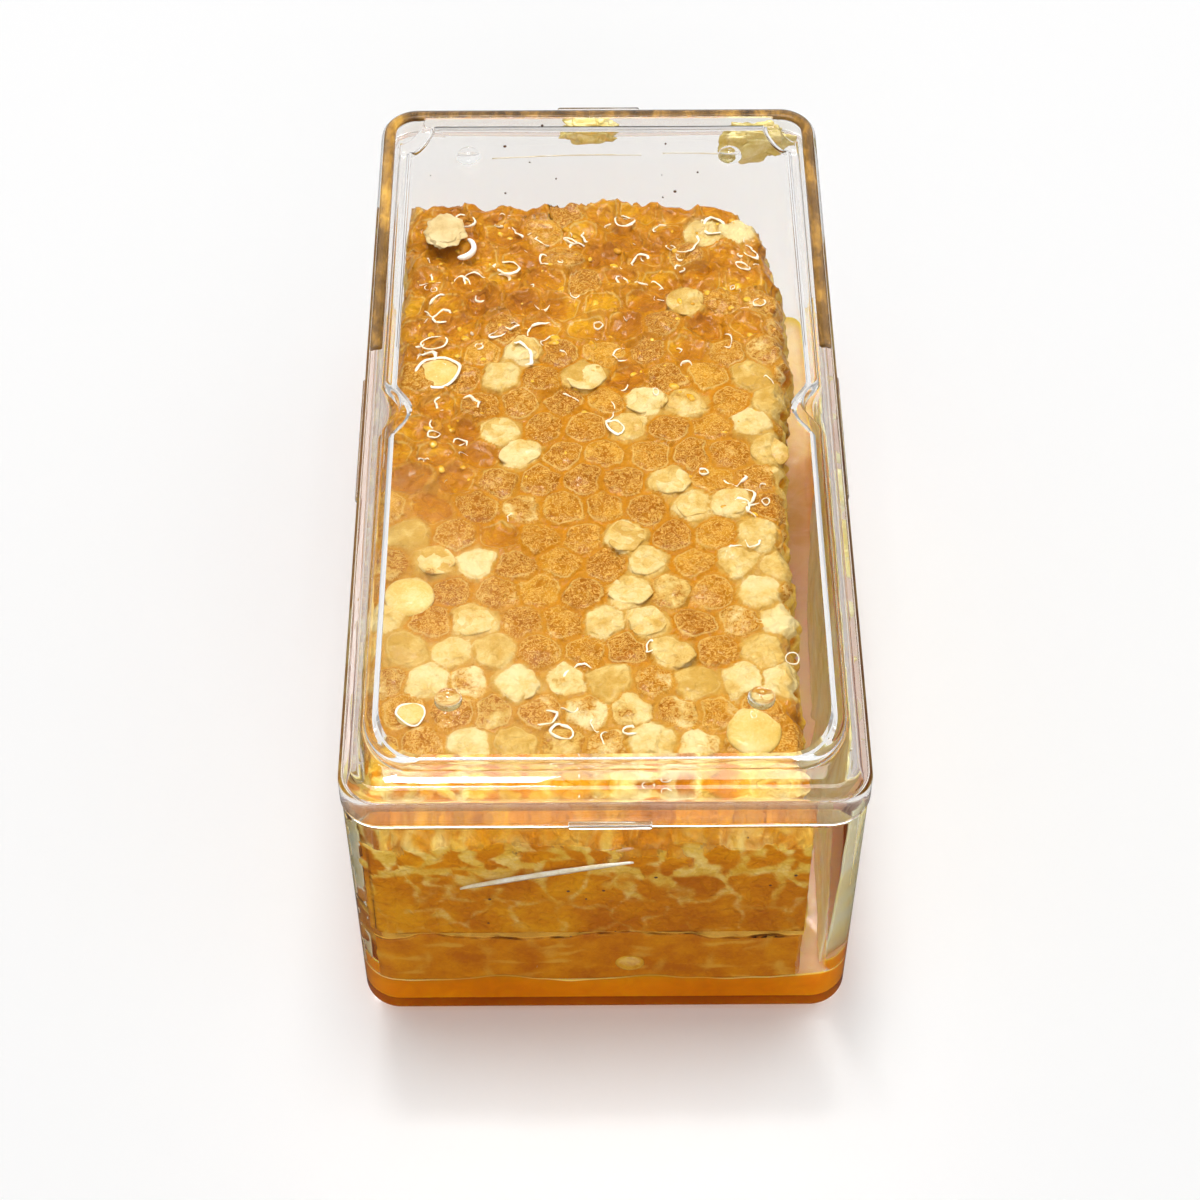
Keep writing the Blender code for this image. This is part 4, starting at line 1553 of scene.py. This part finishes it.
DOME_STOPS = [(0.36, (0.52, 0.33, 0.05)), (0.5, (0.62, 0.43, 0.12)), (0.64, (0.72, 0.56, 0.26))]
dome_material = mottled(
    "domed_yellow_wax", (200.0, 1500.0), DOME_STOPS, (0.4, 0.35), (420.0, 0.0004), Specular_IOR_Level=0.1
)
DOMES = [
    (-23.0, -26.0, 2.9, 3.0, 0.55), (17.0, -46.0, 3.2, 3.3, 0.55),
    (-20.8, 12.0, 2.6, 2.5, 0.4), (-22.3, -43.5, 1.6, 1.6, 0.35),
]
rows = [a_row((x, y, top_at(x, y) - 0.1), 0, 0, 0.4, wide, long, thick) for x, y, wide, long, thick in DOMES]
domes = placed_forms("domes", rows, ball("dome_form", 3), dome_material, 0.5, 260.0, 0)
finish_piece(domes, "comb_wax")
# Painted highlight: bright rings round two domes and two other spots, in the near-white glint material.
rows = [
    a_row((x, y, top_at(x, y) + 0.15), 0, 0, 0.0, wide * 1.04, long * 1.0, 1.3)
    for x, y, wide, long, thick in (DOMES[2], DOMES[3])
]
rows.append(a_row((22.0, -35.0, top_at(21.5, -35) + 0.6), 0, 0, 0.0, 0.8, 0.8, 1.6))
rows.append(a_row((-21.5, 17.5, top_at(-21.5, 17.5) + 0.25), 0, 0, 0.0, 1.7, 1.1, 1.4))
dome_rings = placed_forms("dome_rings", rows, bent_tube(1.0, 6, 0.08, 24), glint_paint_material, 1.1, 300.0, 0)
finish_piece(dome_rings, "honey")

# %% [markdown]
# ## Loose wax
#
# Two torn scraps stick to the back of the box, and a flake lies on the comb. Beside the flake lies a bright
# crescent, a painted highlight made as a white glossy tube. Each lump is a ball of many faces, squashed and
# pushed about by noise, so that its edge is ragged and its face is smooth.


# %% Scraps and flake
def torn_lump(name, node, material, rag, seed, boxy=0.7):
    """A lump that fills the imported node's box."""
    low, high = (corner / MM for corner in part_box(node))
    middle, half = (low + high) / 2, (high - low) / 2
    bm = bmesh.new()
    bmesh.ops.create_icosphere(bm, subdivisions=5, radius=1.0)
    for vert in bm.verts:
        direction = vert.co.copy()
        flatness = [math.copysign(abs(v) ** boxy, v) for v in direction]
        ragged = 0.90 + rag * noise.noise(direction * 2.1 + Vector((seed, 0, 0)))
        ragged += 0.5 * rag * noise.noise(direction * 5.3 + Vector((0, seed, 0)))
        ragged = min(ragged, 1.12)
        vert.co = Vector([(m + f * h * ragged) * MM for m, f, h in zip(middle, flatness, half)])
    mesh = bpy.data.meshes.new(name)
    bm.to_mesh(mesh)
    bm.free()
    mesh.shade_smooth()
    piece = to_object(name, mesh, material)
    return finish_piece(piece, "loose_wax", node)


SCRAP_STOPS = [(0.36, (0.62, 0.46, 0.08)), (0.5, (0.76, 0.63, 0.24)), (0.66, (0.86, 0.77, 0.44))]
scrap_material = mottled("loose_yellow_wax", (260.0, 1300.0), SCRAP_STOPS, (0.25, 0.4), (600.0, 0.0002))
torn_lump("scrap_centre", "wax_scrap_centre", scrap_material, 0.4, 3.0)
torn_lump("scrap_corner", "wax_scrap_corner", scrap_material, 0.4, 8.0)
FLAKE_STOPS = [(0.4, (0.52, 0.37, 0.15)), (0.6, (0.64, 0.50, 0.26))]
flake_material = mottled("milky_flake", (420.0, 1900.0), FLAKE_STOPS, (0.5, 0.4), Specular_IOR_Level=0.1)
torn_lump("flake", "wax_flake", flake_material, 0.22, 14.0, 0.95)
# Painted highlight: the crescent by the flake is near-white, so it looks bright under any light.
crescent_glint_paint, tree, shader = new_material("white_glint")
shader.inputs["Base Color"].default_value = (0.95, 0.93, 0.88, 1.0)
wet_finish(shader, 0.1, 1.0)
rows = [a_row((-18.3, 34.4, top_at(-18.3, 34.4) + 0.25), 0, 0, -1.9, 1.9, 1.5, 2.0)]
crescent = placed_forms("flake_crescent", rows, bent_tube(0.5, 8, 0.28, 20), crescent_glint_paint, 0.2, 300.0, 0)
finish_piece(crescent, "honey")

# %% [markdown]
# ## Films and smears
#
# Honey clings to the box: a milky tan film on the right wall and at the front of the left one. A film
# is a thin sheet laid over a wall. It is made as a grid, torn by deleting faces where noise says so, and
# given its thickness by Solidify. Brown in the joint under the lid, over the back half, is a painted
# reflection of the honey that the plastic mirrors there; it is a closed band along the tray's rim.


# %% Thin sheets on the walls
def torn_sheet(name, across, along, place_at, keep, thickness, material, slot):
    """A grid of across by along faces; place_at(u, v) gives a point and keep(u, v) says if it stays."""
    points = [place_at(i / across, j / along) for i in range(across + 1) for j in range(along + 1)]
    faces = []
    for i in range(across):
        for j in range(along):
            if keep((i + 0.5) / across, (j + 0.5) / along):
                base = i * (along + 1) + j
                faces.append((base, base + along + 1, base + along + 2, base + 1))
    mesh = mesh_from(name, points, faces)
    bm = bmesh.new()
    bm.from_mesh(mesh)
    bmesh.ops.delete(bm, geom=[vert for vert in bm.verts if not vert.link_faces], context="VERTS")
    for _ in range(3):
        border = [vert for vert in bm.verts if vert.is_boundary]
        bmesh.ops.smooth_vert(
            bm, verts=border, factor=0.5, use_axis_x=True, use_axis_y=True, use_axis_z=True
        )
    bmesh.ops.recalc_face_normals(bm, faces=bm.faces)
    bm.to_mesh(mesh)
    bm.free()
    obj = to_object(name, mesh, material)
    solid = obj.modifiers.new("thickness", "SOLIDIFY")
    solid.thickness = thickness * MM
    solid.offset = 0.0
    bpy.context.view_layer.update()
    mesh = baked(obj, name)
    turn_outwards(mesh)
    mesh.shade_smooth()
    return finish_piece(to_object(name, mesh, material), slot)


def film_finish(name, stops, roughness, blotches, **settings):
    sizes = (blotches, 4 * blotches)
    settings["Specular_IOR_Level"] = 0.1
    return mottled(name, sizes, stops, (roughness, 0.4), (500.0, 0.0002), (1.0, 0.35, 1.0), **settings)


def patchy(x, y, z, size, seed):
    return noise.noise(Vector((x, y, z)) / size + Vector((seed, 0, 0)))


milky = film_finish(
    "milky_honey_film",
    [
        (0.34, (0.70, 0.36, 0.06)), (0.44, (0.90, 0.60, 0.22)),
        (0.58, (0.97, 0.76, 0.38)), (0.7, (0.98, 0.86, 0.55)),
    ],
    0.4,
    230.0,
    Subsurface_Weight=1.0,
    Subsurface_Scale=0.003,
    Subsurface_Radius=(1.0, 0.85, 0.6),
)


def right_wall_place(u, v):
    z = 5.8 + 32.0 * v
    y = -56.3 + 84.0 * u
    slope = 1.5 * (1 - v) ** 1.3 * float(smooth_step(24.0, -10.0, y))
    return HALF_WIDTH - tray_inside(z) - 0.15 - slope + 0.25 * patchy(0, y, z, 5.0, 2.0), y, z


def right_wall_keep(u, v):
    y = -56.3 + 84.0 * u
    ragged = 0.25 * patchy(0, y, 32 * v, 4.0, 5.0) + 0.1 * patchy(0, y, 32 * v, 1.4, 6.0)
    return v + ragged < 0.97 - 0.55 * float(smooth_step(5, 26, y)) and u < 0.97 + 0.1 * ragged


torn_sheet("film_on_right_wall", 150, 60, right_wall_place, right_wall_keep, 0.3, milky, "honey")


def left_wall_place(u, v):
    z = 5.8 + 31.0 * v
    y = -55.5 + 30.0 * u
    return -(HALF_WIDTH - tray_inside(z) - 0.10 + 0.08 * patchy(0, y, z, 5.0, 9.0)), y, z


def left_wall_keep(u, v):
    ragged = patchy(0, 30 * u, 31 * v, 5.0, 12.0) + 0.4 * patchy(0, 30 * u, 31 * v, 1.6, 13.0)
    return ragged > -0.12 + 0.5 * float(smooth_step(0.5, 1.0, u))


torn_sheet("film_on_left_wall", 60, 60, left_wall_place, left_wall_keep, 0.2, milky, "honey")


joint_ring = even_ring(rect_ring(1.4, 0)[0], 0.4)


def joint_piece(name, keep, material):
    """A brown band in the joint, a painted reflection of the honey: it lies on top of the tray's rim, under the
    lid.
    """
    count = len(joint_ring)
    points, faces = [], []
    kept = [keep(*joint_ring[index]) for index in range(count)]
    levels = [(0.75, 42.7), (0.75, 43.05), (1.8, 43.12), (2.05, 42.8), (1.8, 42.42), (0.95, 42.42)]
    rings = [even_ring(rect_ring(inset, 0)[0], 0.4) for inset, _ in levels]
    for index in range(count):
        for (_, z), ring in zip(levels, rings):
            at = index / count * len(ring)
            low = int(at) % len(ring)
            x, y = ring[low] + (ring[(low + 1) % len(ring)] - ring[low]) * (at - int(at))
            points.append((x, y, z))
    sides = len(levels)
    for index in range(count):
        after = (index + 1) % count
        if not kept[index] or not kept[after]:
            continue
        for side in range(sides):
            other = (side + 1) % sides
            faces.append((index * sides + side, after * sides + side, after * sides + other, index * sides + other))
        for here, before in ((index, index - 1), (after, (after + 1) % count)):
            if not kept[before]:
                faces.append(tuple(here * sides + side for side in range(sides)))
    mesh = mesh_from(name, points, faces)
    bm = bmesh.new()
    bm.from_mesh(mesh)
    bmesh.ops.delete(bm, geom=[vert for vert in bm.verts if not vert.link_faces], context="VERTS")
    bmesh.ops.recalc_face_normals(bm, faces=bm.faces)
    bm.to_mesh(mesh)
    bm.free()
    mesh.shade_smooth()
    return finish_piece(to_object(name, mesh, material), "honey")


# Painted reflection: dark brown stands for the honey's colour that the walls mirror in the joint.
painted_joint_reflection = film_finish(
    "brown_honey_in_joint",
    [
        (0.36, (0.09, 0.045, 0.012)), (0.48, (0.17, 0.09, 0.025)),
        (0.58, (0.36, 0.19, 0.04)), (0.7, (0.62, 0.36, 0.07)),
    ],
    0.15,
    300.0,
)
joint_piece("brown_honey_in_joint", lambda x, y: y > SIDE_LIP[0] + SIDE_LIP[1] / 2, painted_joint_reflection)

# %% [markdown]
# ## Small marks
#
# A long pale streak lies on the front wall, two fine lines run along the back wall, a yellow bubble
# sits on the comb at the front, and crumbs are scattered over the walls. These small things tell the
# eye how large the box is, and that it has been handled.

# %% Streak, bubble and crumbs
front_y = -(HALF_LENGTH - tray_outside(30.0))


def streak_between(start, end, y, width, name):
    """A thin pale sliver with tapered ends, lying on a wall."""
    steps = 40
    points, faces = [], []
    across = Vector((-(end[1] - start[1]), end[0] - start[0])).normalized()
    for step in range(steps + 1):
        share = step / steps
        x = start[0] + (end[0] - start[0]) * share
        z = start[1] + (end[1] - start[1]) * share + 0.25 * math.sin(3 * share)
        taper = 0.15 + 0.85 * math.sin(math.pi * share) ** 0.4
        half = width * taper * (1 + 0.25 * torn(share * 20, 2.0, 3.0)) / 2
        points += [
            (x - across.x * half, y, z - across.y * half),
            (x, y - 0.22, z),
            (x + across.x * half, y, z + across.y * half),
            (x, y + 0.12, z),
        ]
    for step in range(steps):
        for side in range(4):
            other = (side + 1) % 4
            faces.append((4 * step + side, 4 * step + 4 + side, 4 * step + 4 + other, 4 * step + other))
    faces.append((0, 1, 2, 3))
    faces.append(tuple(reversed(range(4 * steps, 4 * steps + 4))))
    mesh = mesh_from(name, points, faces)
    turn_outwards(mesh)
    mesh.shade_smooth()
    return finish_piece(to_object(name, mesh, streak_material), "loose_wax")


STREAK_STOPS = [(0.4, (0.78, 0.66, 0.42)), (0.6, (0.92, 0.88, 0.78))]
streak_material = mottled("pale_streak", (500.0, 2000.0), STREAK_STOPS, (0.2, 0.6))
streak_between((-16.8, 26.9), (3.2, 32.0), front_y + 0.05, 1.15, "streak_on_front")
back_y = HALF_LENGTH - tray_inside(36.0)
streak_between((-15.0, 35.6), (6.0, 36.1), back_y, 0.16, "thin_line_on_back")
streak_between((9.0, 36.4), (21.0, 35.8), back_y, 0.13, "thin_line_by_corner")

bubble = placed_forms(
    "yellow_bubble", [a_row((3.0, -(HALF_LENGTH - tray_inside(9.6)) - 0.05, 9.6), 0, 0, 0, 1.8, 0.6, 1.6)],
    ball("bubble_form", 3), drop_material, 0.5, 300.0, 0,
)
finish_piece(bubble, "honey")

crumb_material, tree, shader = new_material("dark_crumbs")
shader.inputs["Base Color"].default_value = (0.10, 0.035, 0.008, 1.0)
shader.inputs["Roughness"].default_value = 0.5
rows = []
for _ in range(26):
    size = chance.uniform(0.10, 0.26)
    z = chance.uniform(8, 38)
    back = (chance.uniform(-24, 24), HALF_LENGTH - tray_inside(z) - 0.03, chance.uniform(28, 41))
    front = (chance.uniform(-22, 22), -(HALF_LENGTH - tray_inside(z) + 0.05), z)
    right = (HALF_WIDTH - tray_inside(z) - 0.35, chance.uniform(-54, 20), z)
    rows.append(a_row(chance.choice((back, back, front, right)), 0, 0, 0, size, size, size * 0.8))
crumbs = placed_forms("crumbs", rows, ball("crumb_form", 1), crumb_material, 0.15, 2000.0, 0)
finish_piece(crumbs, "loose_wax")
